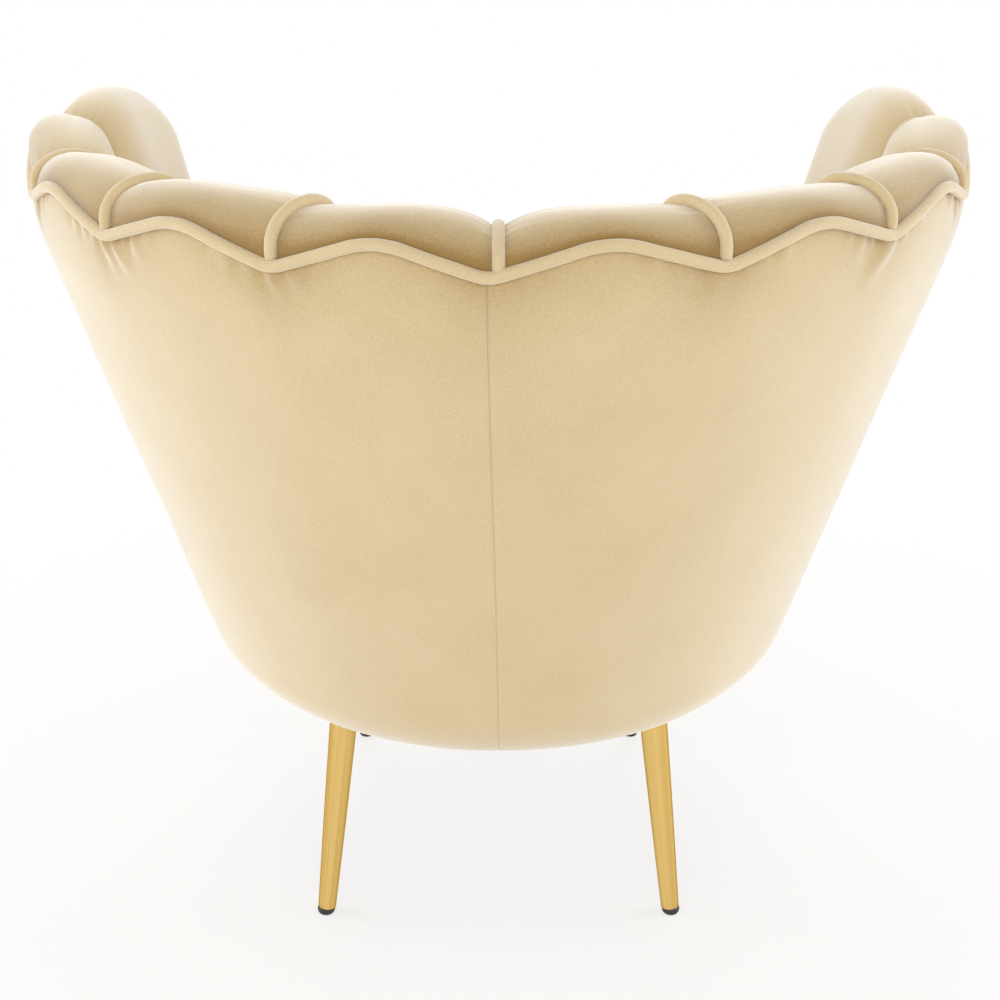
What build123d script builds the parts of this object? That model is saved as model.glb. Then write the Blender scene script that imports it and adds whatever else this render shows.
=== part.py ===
from build123d import *
from math import asin, atan2, cos, degrees, pi, radians, sin, sqrt, tan
import os

# Tub armchair with a scallop-shell rim: ten stuffed petals stand on a ribbed plywood bowl,
# a welt lies in every seam, and four tapered metal legs carry the base board.
# Millimetres, +Z up, the seat opens towards -Y and the back stands at +Y.
# Most pieces turn about the upright axis of the bowl. Angles run from the back of the chair
# towards the sitter's left, which is +X.

# The bowl: the outside of the covers
base_bottom = 203.0
base_flat_radius = 211.0
base_round = 67.0
rim_radius = 406.0
shoulder_round = 223.0
shoulder_rise = 15.3

# Fits and thicknesses
gap = 0.3
bay_gap = 0.1
cover_thickness = 4.0
panel_thickness = 3.0
plywood = 18.0
rib_depth = 24.0
welt_radius = 4.0
welt_sides = 8
welt_proud = 1.2

# Petals and rim
petals_a_side = 5
petal_angle = 23.0
petal_depth = 81.0
seam_depth = 66.0
rim_low = 672.0
rim_wave = 26.0
crest_rise = 16.0
seam_rise = 32.0
roll_width = 41.0
rim_depth = 7.0
rim_high_fillet = 70.0
rim_low_fillet = 30.0
petal_stations = (0.0, 0.14, 0.3, 0.5, 0.7, 0.86, 1.0)

# Arm noses: the rounded front ends of the last petals
arm_half_angle = 9.5
arm_rise = 7.0
nose_round = 120.0
nose_edge_depth = 15.0
nose_roll = 70.0
nose_welt_round = 50.0
nose_welt_lead = 0.6
apron_lead = 1.3
seat_lap = 0.3
nose_stations = (0.59, 0.76, 0.89, 0.96)
nose_welt_stations = (0.25, 0.5, 0.7, 0.85, 0.95)

# Frame
tuck = 51.0
base_board_lip = 17.0
base_board_bottom = 210.3
rib_set_in = 6.0
ledge_height = 318.0
front_top = 348.0
rail_drop = 22.0
arm_rib_angle = 107.5
arm_rib_lap = 2.2
front_rib_angles = (150.0, 180.0, 210.0)
dust_cover_lap = 12.0
dust_cover_thickness = 0.8

# Seat
webbing_thickness = 1.8
webbing_width = 50.0
webbing_offsets = (-120.0, -40.0, 40.0, 120.0)
webbing_margin = 9.0
deck_pad_thickness = 8.0
seat_clearance = 8.0
seat_front_radius = 286.0
seat_crown = 438.0
seat_flat = 100.0
seat_dome = 1200.0
seat_edge = 18.0
seat_lip = 14.0
deck_clearance = 7.0

# Legs
rear_leg_angle = 40.5
rear_leg_set_in = -3.2
rear_leg_turn = 2.0
rear_leg_splay = 24.3
front_leg_angle = 137.6
front_leg_set_in = 21.3
front_leg_turn = 0.0
front_leg_splay = 26.9
leg_top_radius = 12.4
leg_middle_radius = 10.6
leg_end_radius = 8.25
leg_bore = 6.75
leg_cap = 4.0
leg_lift = 6.5
glide_sole = 5.2
glide_height = 4.9
glide_plug = 5.0
glide_shank = 9.0
stud_radius = 4.0
stud_top = 240.0
insert_radius = 5.5
insert_flange = 9.0
insert_plate = 1.5
insert_length = 17.0

# Sizes that follow from the ones above
rim_high = rim_low + rim_wave
crest_high = rim_high + crest_rise
crest_low = rim_low + seam_rise
rail_bottom = rim_low - rail_drop
shoulder_height = rim_low + shoulder_rise
base_round_z = base_bottom + base_round
shoulder_centre = rim_radius - shoulder_round
wall_spread = shoulder_centre - base_flat_radius
wall_rise = shoulder_height - base_round_z
wall_turn = (shoulder_round - base_round) / sqrt(wall_spread ** 2 + wall_rise ** 2)
flare = asin(wall_turn) + atan2(wall_spread, wall_rise)
cone_offset = base_flat_radius + base_round / cos(flare)
base_board_radius = base_flat_radius + base_board_lip
rib_inner_radius = base_flat_radius - rib_set_in
tuck_radius = base_flat_radius - tuck
panel_depth = cover_thickness + gap
rib_face = panel_depth + panel_thickness + gap
rib_back = rib_face + rib_depth
lining_depth = rib_back + gap
petal_back = lining_depth + panel_thickness + gap
board_top = base_board_bottom + plywood
rib_foot = board_top + gap
rib_heel = base_flat_radius + base_round / 2
ring_bottom = ledge_height + gap
ring_top = ring_bottom + plywood
webbing_low = ring_top + gap
webbing_high = webbing_low + webbing_thickness + gap
petal_foot = webbing_high + webbing_thickness + gap
deck_top = petal_foot + deck_pad_thickness
seat_bottom = max(deck_top, front_top) + gap
rail_top = rail_bottom + plywood
rail_seat = rail_top + 2 * gap
arm_crest = crest_high + arm_rise
welt_gap = welt_radius + gap
welt_lift = welt_radius + 4 * gap
arm_angle = petal_angle * (petals_a_side - 1)
nose_start_angle = arm_angle + arm_half_angle
nose_degrees = 180 / (pi * rim_radius)
cover_end = nose_start_angle + (nose_round - 1.8 * welt_lift) * nose_degrees
welt_end = nose_start_angle + nose_round * nose_degrees + nose_welt_lead
apron_start = welt_end + apron_lead
seat_front_angle = welt_end - seat_lap
arm_rib_edge = arm_rib_angle + arm_rib_lap
wave_half = rim_radius * sin(radians(petal_angle / 2))
wave_slope = 0.0
for _ in range(40):
    spare = (rim_high_fillet + rim_low_fillet) * (1 / cos(wave_slope) - 1)
    wave_slope = atan2(rim_high - rim_low + spare, wave_half)
high_vertex = rim_high + rim_high_fillet * (1 / cos(wave_slope) - 1)
low_vertex = rim_low - rim_low_fillet * (1 / cos(wave_slope) - 1)
leg_top = base_bottom - 2 * gap
axis_y = (cone_offset + (front_top - base_round_z) * tan(flare) - rim_radius - welt_radius) / 2
bowl_axis = Axis((0, axis_y, 0), (0, 0, -1))
sides = (("left", 1), ("right", -1))
seams = [petal_angle * n for n in range(1 - petals_a_side, petals_a_side)]
os.makedirs("parts", exist_ok=True)


def radial_plane(angle):
    # Upright plane through the bowl's axis: local x runs outwards, local y runs up
    a = radians(angle)
    return Plane((0, axis_y, 0), x_dir=(sin(a), cos(a), 0), z_dir=(cos(a), -sin(a), 0))


def tangent_plane(angle):
    # Upright plane through the bowl's axis that faces away from an angle: local x runs along the rim
    a = radians(angle)
    return Plane((0, axis_y, 0), x_dir=(cos(a), -sin(a), 0), z_dir=(-sin(a), -cos(a), 0))


def level(height):
    # Level plane centred on the bowl's axis
    return Plane((0, axis_y, height))


def on_wall(angle, radius, height):
    a = radians(angle)
    return (radius * sin(a), axis_y + radius * cos(a), height)


def cone_radius(height, depth):
    # Radius of the straight flared wall, a depth inside its outer face
    return cone_offset - depth / cos(flare) + (height - base_round_z) * tan(flare)


def wall_radius(height, depth):
    # The same for the real wall, which stands upright above its shoulder
    if height <= shoulder_height - (shoulder_round - depth) * sin(flare):
        return cone_radius(height, depth)
    if height >= shoulder_height:
        return rim_radius - depth
    return shoulder_centre + sqrt((shoulder_round - depth) ** 2 - (shoulder_height - height) ** 2)


def draw_wall(depth, low, high):
    # Line of the wall between two heights, straight and then turning upright at the shoulder
    turn = shoulder_height - (shoulder_round - depth) * sin(flare)
    foot = (cone_radius(low, depth), low)
    if high <= turn:
        Line(foot, (cone_radius(high, depth), high))
        return
    bend = (cone_radius(turn, depth), turn)
    Line(foot, bend)
    arc_end = min(high, shoulder_height)
    TangentArc(bend, (wall_radius(arc_end, depth), arc_end), tangent=(sin(flare), cos(flare)))
    if high > shoulder_height:
        Line((rim_radius - depth, shoulder_height), (rim_radius - depth, high))


def draw_skin(depth, thickness, low, high):
    # Closed outline of a sheet that follows the wall
    draw_wall(depth, low, high)
    draw_wall(depth + thickness, low, high)
    Line((cone_radius(low, depth), low), (cone_radius(low, depth + thickness), low))
    Line((wall_radius(high, depth), high), (wall_radius(high, depth + thickness), high))


def draw_cover(high):
    # Closed outline of a cover: wall, turn under the base and tuck along its underside
    inner = base_round - cover_thickness
    turn_out = base_round_z - base_round * sin(flare)
    turn_in = base_round_z - inner * sin(flare)
    tuck_top = base_bottom + cover_thickness
    draw_wall(0, turn_out, high)
    draw_wall(cover_thickness, turn_in, high)
    Line((wall_radius(high, 0), high), (wall_radius(high, cover_thickness), high))
    CenterArc((base_flat_radius, base_round_z), base_round, -90, 90 - degrees(flare))
    CenterArc((base_flat_radius, base_round_z), inner, -90, 90 - degrees(flare))
    Line((base_flat_radius, base_bottom), (tuck_radius, base_bottom))
    Line((tuck_radius, base_bottom), (tuck_radius, tuck_top))
    Line((tuck_radius, tuck_top), (base_flat_radius, tuck_top))


def fullness(station):
    # How far a petal swells between its two seams, 0 in the seams and 1 half way
    return sqrt(1 - (2 * station - 1) ** 2)


def rim_height(station):
    # Height of the rim wave between two seams: rounded lows and tops joined by straight slopes
    run = abs(2 * station - 1) * wave_half
    if run <= rim_high_fillet * sin(wave_slope):
        return rim_high - rim_high_fillet + sqrt(rim_high_fillet ** 2 - run ** 2)
    if wave_half - run <= rim_low_fillet * sin(wave_slope):
        return rim_low + rim_low_fillet - sqrt(rim_low_fillet ** 2 - (wave_half - run) ** 2)
    return high_vertex - run * tan(wave_slope)


def nose_drop(reach, radius):
    # How far the rounded arm corner has fallen, a reach past the start of the nose
    return radius - sqrt(radius ** 2 - max(reach, 0.0) ** 2)


def roll_points(depth, width, crest_z, edge_z):
    # Corners of a petal's face: foot, start of the roll, crest and the edge on the rim welt
    crest_r = wall_radius(edge_z, 0) - width
    roll = (crest_r - cone_radius(crest_z, depth)) * cos(flare) / (1 - sin(flare))
    turn = (crest_r - roll * cos(flare), crest_z - roll * (1 - sin(flare)))
    foot = (cone_radius(petal_foot, depth), petal_foot)
    return foot, turn, (crest_r, crest_z), (wall_radius(edge_z, 0), edge_z)


def draw_face(foot, turn, crest, edge):
    # Seen side of a petal: inner face, roll up to the crest and roll down to the rim welt
    Line(foot, turn)
    TangentArc(turn, crest, tangent=(sin(flare), cos(flare)))
    TangentArc(crest, edge, tangent=(1, 0))


def draw_petal(full, top, rim_z, drop):
    # Closed outline of a petal across the frame: face, step over the top rail and back
    depth = seam_depth + (petal_depth - seam_depth) * full
    crest_z = crest_low + (top - crest_low) * full - drop
    edge_z = rim_z - drop + welt_lift
    points = roll_points(depth, roll_width, crest_z, edge_z)
    draw_face(*points)
    Polyline(
        points[3],
        (wall_radius(edge_z, rim_depth), edge_z),
        (wall_radius(rail_seat, rim_depth), rail_seat),
        (cone_radius(rail_seat, petal_back), rail_seat),
        (cone_radius(petal_foot, petal_back), petal_foot),
        points[0],
    )


def seat_fall(radius):
    # How far the crowned top of the seat has fallen at a radius
    return seat_dome - sqrt(seat_dome ** 2 - (radius - seat_flat) ** 2)


def draw_cushion(start, radius, crown, swell):
    # Half outline of the cushion: flat middle, crowned top, rounded edge and side drawn in below
    edge = (radius, crown - seat_fall(radius))
    round_off = (radius + 0.84 * swell, edge[1] - 0.5 * seat_edge)
    widest = (radius + swell, edge[1] - 1.4 * seat_edge)
    Polyline((seat_flat, crown), (start, crown), (start, seat_bottom), (radius, seat_bottom), widest)
    ThreePointArc(widest, round_off, edge)
    TangentArc((seat_flat, crown), edge, tangent=(1, 0))


def draw_nose(reach):
    # Closed outline of an arm nose, which fills the wall from the inner face to the cover
    bend = max(reach - nose_round + nose_roll, 0.0) / nose_roll
    depth = nose_edge_depth + (petal_depth - nose_edge_depth) * sqrt(1 - bend ** 2)
    drop = nose_drop(reach, nose_round + welt_lift)
    edge_z = rim_high + welt_lift - drop
    points = roll_points(depth, roll_width * depth / petal_depth, arm_crest - drop, edge_z)
    draw_face(*points)
    Polyline(
        points[3],
        (wall_radius(edge_z, rim_depth), edge_z),
        (cone_radius(petal_foot, rim_depth), petal_foot),
        points[0],
    )


def draw_rib():
    # Closed outline of a rib: wall side, head under the top rail, ledge for the seat ring and foot
    head_z = rail_bottom - gap
    draw_wall(rib_face, base_round_z, head_z)
    Polyline(
        (wall_radius(head_z, rib_face), head_z),
        (cone_radius(head_z, rib_back), head_z),
        (cone_radius(ledge_height, rib_back), ledge_height),
        (rib_inner_radius, ledge_height),
        (rib_inner_radius, rib_foot),
        (rib_heel, rib_foot),
        (cone_radius(base_round_z, rib_face), base_round_z),
    )


def strap_length(offset):
    # Longest strap that fits the seat ring at an offset from its middle
    return 2 * sqrt((ring_radius - webbing_margin) ** 2 - (abs(offset) + webbing_width / 2) ** 2)


def leg_frame(head, foot):
    # Length of a leg up to the covers and the plane across its foot
    across = Plane(foot, z_dir=Vector(head) - Vector(foot))
    lean = across.z_dir.Z
    length = (leg_top - leg_top_radius * sqrt(1 - lean ** 2)) / lean
    return length, across


# Legs: name, head under the base board and foot on the floor
leg_rows = (
    ("rear", rear_leg_angle, rear_leg_turn, base_flat_radius - rear_leg_set_in, rear_leg_splay),
    ("front", front_leg_angle, front_leg_turn, base_flat_radius - front_leg_set_in, front_leg_splay),
)
legs = []
for end, angle, turn, reach, splay in leg_rows:
    for side, sign in sides:
        head = on_wall(sign * angle, reach, leg_top)
        foot = on_wall(sign * (angle + turn), reach + splay, 0)
        legs.append((f"{end}_{side}", head, foot))
leg_tops = [head[:2] for name, head, foot in legs]

# Base board on which the ribs stand, bored for the leg inserts
with BuildPart() as base_board:
    with BuildSketch(level(base_board_bottom)):
        Circle(base_board_radius)
    extrude(amount=plywood)
    with BuildSketch(Plane.XY.offset(base_board_bottom)):
        with Locations(*leg_tops):
            Circle(insert_radius + gap)
    extrude(amount=plywood, mode=Mode.SUBTRACT)
base_board.part.label = "base_board"
export_step(base_board.part, "parts/base_board.step")

# Threaded inserts in the base board
with BuildPart() as leg_inserts:
    with BuildSketch(Plane.XY.offset(board_top + gap)):
        with Locations(*leg_tops):
            Circle(insert_radius)
    extrude(amount=-insert_length)
    with BuildSketch(Plane.XY.offset(board_top + gap)):
        with Locations(*leg_tops):
            Circle(insert_flange)
    extrude(amount=insert_plate)
    with BuildSketch(Plane.XY.offset(base_board_bottom)):
        with Locations(*leg_tops):
            Circle(stud_radius + gap / 2)
    extrude(amount=2 * plywood, mode=Mode.SUBTRACT)
leg_inserts.part.label = "leg_inserts"
export_step(leg_inserts.part, "parts/leg_inserts.step")

# Studs that screw the legs to the inserts
with BuildPart() as leg_studs:
    with BuildSketch(Plane.XY.offset(leg_top - leg_cap / 2)):
        with Locations(*leg_tops):
            Circle(stud_radius)
    extrude(amount=stud_top - leg_top + leg_cap / 2)
leg_studs.part.label = "leg_studs"
export_step(leg_studs.part, "parts/leg_studs.step")

# Back ribs: one plywood rib stands behind every petal seam
with BuildPart() as back_ribs:
    for seam in seams:
        with BuildSketch(radial_plane(seam)):
            with BuildLine():
                draw_rib()
            make_face()
    extrude(amount=plywood / 2, both=True)
back_ribs.part.label = "back_ribs"
export_step(back_ribs.part, "parts/back_ribs.step")

# Arm ribs at the front end of each arm, shaped like the back ribs
with BuildPart() as arm_ribs:
    for side, sign in sides:
        with BuildSketch(radial_plane(sign * arm_rib_angle)):
            with BuildLine():
                draw_rib()
            make_face()
    extrude(amount=plywood / 2, both=True)
arm_ribs.part.label = "arm_ribs"
export_step(arm_ribs.part, "parts/arm_ribs.step")

# Front ribs: short ribs that end under the seat cushion
with BuildPart() as front_ribs:
    for angle in front_rib_angles:
        with BuildSketch(radial_plane(angle)):
            with BuildLine():
                Polyline(
                    (cone_radius(base_round_z, rib_face), base_round_z),
                    (cone_radius(petal_foot - gap, rib_face), petal_foot - gap),
                    (cone_radius(petal_foot - gap, rib_back), petal_foot - gap),
                    (cone_radius(ledge_height, rib_back), ledge_height),
                    (rib_inner_radius, ledge_height),
                    (rib_inner_radius, rib_foot),
                    (rib_heel, rib_foot),
                    close=True,
                )
            make_face()
    extrude(amount=plywood / 2, both=True)
front_ribs.part.label = "front_ribs"
export_step(front_ribs.part, "parts/front_ribs.step")

# Seat ring on the ledges of the ribs
ring_radius = cone_radius(ring_bottom, rib_back) - gap
with BuildPart() as seat_ring:
    with BuildSketch(level(ring_bottom)):
        Circle(ring_radius)
        Circle(rib_inner_radius, mode=Mode.SUBTRACT)
    extrude(amount=plywood)
seat_ring.part.label = "seat_ring"
export_step(seat_ring.part, "parts/seat_ring.step")

# Top rail along the heads of the ribs
with BuildPart() as top_rail:
    with BuildSketch(radial_plane(-arm_rib_edge)):
        with BuildLine():
            Polyline(
                (cone_radius(rail_top, rib_back), rail_bottom),
                (wall_radius(rail_bottom, rib_face), rail_bottom),
                (wall_radius(rail_bottom, rib_face), rail_top),
                (cone_radius(rail_top, rib_back), rail_top),
                close=True,
            )
        make_face()
    revolve(axis=bowl_axis, revolution_arc=2 * arm_rib_edge)
top_rail.part.label = "top_rail"
export_step(top_rail.part, "parts/top_rail.step")

# Outer panels close the bays between the ribs, behind the outer covers
bay_edges = [-arm_rib_edge] + seams + [arm_rib_edge]
with BuildPart() as outer_panels:
    for start, end in zip(bay_edges, bay_edges[1:]):
        with BuildSketch(radial_plane(start + bay_gap / 2)):
            with BuildLine():
                draw_skin(panel_depth, panel_thickness, base_round_z, rim_low - 2 * welt_radius)
            make_face()
        revolve(axis=bowl_axis, revolution_arc=end - start - bay_gap)
outer_panels.part.label = "outer_panels"
export_step(outer_panels.part, "parts/outer_panels.step")

# Front panels close the bays under the seat
front_edges = [arm_rib_edge] + list(front_rib_angles) + [360 - arm_rib_edge]
with BuildPart() as front_panels:
    for start, end in zip(front_edges, front_edges[1:]):
        with BuildSketch(radial_plane(start + bay_gap / 2)):
            with BuildLine():
                draw_skin(panel_depth, panel_thickness, base_round_z, petal_foot - gap)
            make_face()
        revolve(axis=bowl_axis, revolution_arc=end - start - bay_gap)
front_panels.part.label = "front_panels"
export_step(front_panels.part, "parts/front_panels.step")

# Lining boards on the inner edges of the ribs carry the petals
with BuildPart() as lining_boards:
    for start, end in zip(bay_edges, bay_edges[1:]):
        with BuildSketch(radial_plane(start + bay_gap / 2)):
            with BuildLine():
                Polyline(
                    (cone_radius(petal_foot, lining_depth), petal_foot),
                    (cone_radius(petal_foot, lining_depth + panel_thickness), petal_foot),
                    (cone_radius(rail_top, lining_depth + panel_thickness), rail_top),
                    (cone_radius(rail_top, lining_depth), rail_top),
                    close=True,
                )
            make_face()
        revolve(axis=bowl_axis, revolution_arc=end - start - bay_gap)
lining_boards.part.label = "lining_boards"
export_step(lining_boards.part, "parts/lining_boards.step")

# Padding that rounds the edge of the base behind the covers
pad_overlap = 5.0
pad_round = base_round - cover_thickness - gap
pad_inner = base_board_radius + gap
pad_low = base_round_z - sqrt(pad_round ** 2 - (pad_inner - base_flat_radius) ** 2)
pad_turn = (base_flat_radius + pad_round * cos(flare), base_round_z - pad_round * sin(flare))
with BuildPart() as base_padding:
    with BuildSketch(radial_plane(0)):
        with BuildLine():
            TangentArc(pad_turn, (pad_inner, pad_low), tangent=(-sin(flare), -cos(flare)))
            Polyline((pad_inner, pad_low), (pad_inner, rib_foot - 2 * gap),
                     (rib_heel + pad_overlap, rib_foot - 2 * gap), pad_turn)
        make_face()
    revolve(axis=bowl_axis)
base_padding.part.label = "base_padding"
export_step(base_padding.part, "parts/base_padding.step")

# Dust cover under the base
with BuildPart() as dust_cover:
    with BuildSketch(level(base_bottom - gap)):
        Circle(tuck_radius + dust_cover_lap)
    extrude(amount=-dust_cover_thickness)
dust_cover.part.label = "dust_cover"
export_step(dust_cover.part, "parts/dust_cover.step")

# Webbing across the seat ring, four straps lengthwise and four crosswise above them
with BuildPart() as webbing_long:
    with BuildSketch(level(webbing_low)):
        for offset in webbing_offsets:
            with Locations((offset, 0)):
                Rectangle(webbing_width, strap_length(offset))
    extrude(amount=webbing_thickness)
webbing_long.part.label = "webbing_long"
export_step(webbing_long.part, "parts/webbing_long.step")

with BuildPart() as webbing_cross:
    with BuildSketch(level(webbing_high)):
        for offset in webbing_offsets:
            with Locations((0, offset)):
                Rectangle(strap_length(offset), webbing_width)
    extrude(amount=webbing_thickness)
webbing_cross.part.label = "webbing_cross"
export_step(webbing_cross.part, "parts/webbing_cross.step")

# Deck pad between the webbing and the cushion
with BuildPart() as deck_pad:
    with BuildSketch(level(petal_foot)):
        Circle(cone_radius(petal_foot, petal_depth) - deck_clearance)
    extrude(amount=deck_pad_thickness)
deck_pad.part.label = "deck_pad"
export_step(deck_pad.part, "parts/deck_pad.step")

# Seat cushion: a crowned disc inside the petals that widens in front of the arms
seat_rear_radius = cone_radius(seat_bottom, petal_depth) - seat_clearance
with BuildPart() as seat_cushion:
    with BuildSketch(radial_plane(0)):
        with BuildLine():
            draw_cushion(0, seat_rear_radius, seat_crown, seat_edge)
        make_face()
    revolve(axis=bowl_axis)
    with BuildSketch(radial_plane(seat_front_angle)):
        with BuildLine():
            draw_cushion(seat_flat / 2, seat_front_radius, seat_crown - 2 * gap, seat_lip)
        make_face()
    revolve(axis=bowl_axis, revolution_arc=360 - 2 * seat_front_angle)
seat_cushion.part.label = "seat_cushion"
export_step(seat_cushion.part, "parts/seat_cushion.step")

# Seat welt along the front edge of the cushion
front_crown = seat_crown - 2 * gap
welt_lean = atan2(seat_lip, 1.4 * seat_edge)
front_edge = front_crown - seat_fall(seat_front_radius)
welt_r = seat_front_radius + 0.84 * seat_lip + welt_gap * cos(welt_lean)
welt_z = front_edge - 0.5 * seat_edge + welt_gap * sin(welt_lean)
with BuildPart() as seat_welt:
    with BuildSketch(radial_plane(seat_front_angle)):
        with Locations((welt_r, welt_z)):
            RegularPolygon(welt_radius, welt_sides)
    revolve(axis=bowl_axis, revolution_arc=360 - 2 * seat_front_angle)
seat_welt.part.label = "seat_welt"
export_step(seat_welt.part, "parts/seat_welt.step")

# Front apron under the cushion, between the two outer covers
with BuildPart() as front_apron:
    with BuildSketch(radial_plane(apron_start)):
        with BuildLine():
            draw_cover(front_top)
        make_face()
    revolve(axis=bowl_axis, revolution_arc=360 - 2 * apron_start)
    with BuildSketch(Plane.XY.offset(base_bottom)):
        with Locations(*leg_tops):
            Circle(stud_radius + gap)
    extrude(amount=plywood, mode=Mode.SUBTRACT)
front_apron.part.label = "front_apron"
export_step(front_apron.part, "parts/front_apron.step")

# Outer covers: two halves sewn together at the back, their upper edge cut along the rim wave
cut_low = low_vertex - welt_lift
cut_high = high_vertex - welt_lift
cut_top = 2 * crest_high - rim_low
cut_side = wave_half + welt_radius
nose_top = rim_high - 1.4 * welt_lift
nose_cut = nose_round - 2.5 * welt_lift
for side, sign in sides:
    with BuildPart() as outer_cover:
        with BuildSketch(radial_plane(bay_gap / 2 if sign > 0 else -cover_end)):
            with BuildLine():
                draw_cover(rim_high + welt_radius)
            make_face()
        revolve(axis=bowl_axis, revolution_arc=cover_end - bay_gap / 2)
        for n in range(petals_a_side - 1):
            wave = ((-wave_half, cut_low), (0, cut_high), (wave_half, cut_low))
            with BuildSketch(tangent_plane(sign * petal_angle * (n + 0.5))):
                with BuildLine():
                    FilletPolyline(wave, radius=rim_high_fillet)
                    Polyline(wave[2], (cut_side, cut_low), (cut_side, cut_top), (-cut_side, cut_top),
                             (-cut_side, cut_low), wave[0])
                make_face()
            extrude(amount=-2 * rim_radius, mode=Mode.SUBTRACT)
        wave_start = -sign * rim_radius * sin(radians(nose_start_angle - arm_angle))
        nose_end = (sign * nose_cut, nose_top - nose_cut)
        with BuildSketch(tangent_plane(sign * nose_start_angle)):
            with BuildLine():
                Polyline((0, nose_top), (wave_start, cut_low), (wave_start, cut_top),
                         (sign * nose_round, cut_top), (sign * nose_round, nose_end[1]), nose_end)
                TangentArc((0, nose_top), nose_end, tangent=(sign, 0))
            make_face()
        extrude(amount=-2 * rim_radius, mode=Mode.SUBTRACT)
        with BuildSketch(Plane.XY.offset(base_bottom)):
            with Locations(*leg_tops):
                Circle(stud_radius + gap)
        extrude(amount=plywood, mode=Mode.SUBTRACT)
    outer_cover.part.label = f"outer_cover_{side}"
    export_step(outer_cover.part, f"parts/outer_cover_{side}.step")

# Petals between two seams, counted from the back
for side, sign in sides:
    for n in range(petals_a_side - 1):
        with BuildPart() as petal:
            for station in petal_stations:
                place = radial_plane(sign * petal_angle * (n + station))
                if station == 0.0:
                    place = place.offset(sign * welt_gap)
                if station == 1.0:
                    place = place.offset(-sign * welt_gap)
                with BuildSketch(place):
                    with BuildLine():
                        draw_petal(fullness(station), crest_high, rim_height(station), 0.0)
                    make_face()
            loft()
        petal.part.label = f"petal_{side}_{n + 1}"
        export_step(petal.part, f"parts/petal_{side}_{n + 1}.step")

# Last petal of each arm, which ends in the rounded nose
arm_rib_reach = (arm_rib_edge + bay_gap - nose_start_angle) / nose_degrees
for side, sign in sides:
    with BuildPart() as arm_petal:
        for station in petal_stations[:4]:
            place = radial_plane(sign * (arm_angle + 2 * arm_half_angle * station))
            if station == 0.0:
                place = place.offset(sign * welt_gap)
            with BuildSketch(place):
                with BuildLine():
                    draw_petal(fullness(station), arm_crest, rim_height(station), 0.0)
                make_face()
        with BuildSketch(radial_plane(sign * (arm_rib_edge + bay_gap))):
            with BuildLine():
                draw_petal(1.0, arm_crest, rim_high, nose_drop(arm_rib_reach, nose_round + welt_lift))
            make_face()
        loft()
        with BuildSketch(radial_plane(sign * (arm_rib_edge + bay_gap))):
            with BuildLine():
                draw_nose(arm_rib_reach)
            make_face()
        for station in nose_stations:
            with BuildSketch(radial_plane(sign * (nose_start_angle + station * nose_round * nose_degrees))):
                with BuildLine():
                    draw_nose(station * nose_round)
                make_face()
        loft()
    arm_petal.part.label = f"petal_{side}_{petals_a_side}"
    export_step(arm_petal.part, f"parts/petal_{side}_{petals_a_side}.step")

# Channel welts: piping in every petal seam, from the rim welt over the crest down to the deck
foot, turn, crest, edge = roll_points(seam_depth, roll_width, crest_low, rim_low + welt_lift)
welt_crest = crest_low + welt_proud
welt_fall = welt_crest - edge[1] - welt_radius
outer_reach = edge[0] - crest[0]
outer_round = (outer_reach ** 2 + welt_fall ** 2) / (2 * welt_fall)
outer_corner = crest[0] + outer_round * welt_fall / outer_reach
inner_round = (crest[0] - turn[0]) / cos(flare) + welt_proud
inner_depth = seam_depth + welt_proud
with BuildPart() as channel_welts:
    for seam in seams:
        with BuildLine(radial_plane(seam)) as channel:
            FilletPolyline(
                (cone_radius(petal_foot, inner_depth), petal_foot),
                (cone_radius(welt_crest, inner_depth), welt_crest),
                (outer_corner, welt_crest),
                (edge[0], welt_crest - welt_fall),
                radius=(inner_round, 0.95 * outer_round),
            )
        with BuildSketch(Plane(channel.line @ 0, z_dir=channel.line % 0)):
            RegularPolygon(welt_radius, welt_sides)
        sweep(path=channel.line)
channel_welts.part.label = "channel_welts"
export_step(channel_welts.part, "parts/channel_welts.step")

# Rim welt: one long piping along the rim wave, round both noses and down the arm fronts
half_path = []
half_radii = []
for n in range(petals_a_side - 1):
    half_path.append(on_wall(petal_angle * n, rim_radius, low_vertex))
    half_path.append(on_wall(petal_angle * (n + 0.5), rim_radius, high_vertex))
    half_radii += [rim_low_fillet, rim_high_fillet]
half_path.append(on_wall(arm_angle, rim_radius, low_vertex))
half_path.append(on_wall(nose_start_angle, rim_radius, rim_high))
half_radii += [rim_low_fillet, nose_welt_round]
for station in nose_welt_stations:
    reach = station * nose_round
    height = rim_high - nose_drop(reach, nose_round)
    half_path.append(on_wall(nose_start_angle + reach * nose_degrees, wall_radius(height, 0), height))
    half_radii.append(nose_welt_round)
nose_foot = rim_high - nose_round
half_path.append(on_wall(welt_end, cone_radius(nose_foot, 0), nose_foot))
half_path.append(on_wall(welt_end, cone_radius(base_bottom, 0), base_bottom))
half_path.append(on_wall(welt_end, base_flat_radius - 2 * welt_radius, base_bottom))
half_radii += [nose_welt_round, base_round]
other_half = [(-x, y, z) for x, y, z in reversed(half_path[1:])]
with BuildPart() as rim_welt:
    with BuildLine() as rim:
        FilletPolyline(other_half + half_path, radius=list(reversed(half_radii[1:])) + half_radii)
    with BuildSketch(Plane(rim.line @ 0, z_dir=rim.line % 0)):
        RegularPolygon(welt_radius, welt_sides)
    sweep(path=rim.line)
rim_welt.part.label = "rim_welt"
export_step(rim_welt.part, "parts/rim_welt.step")

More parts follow.
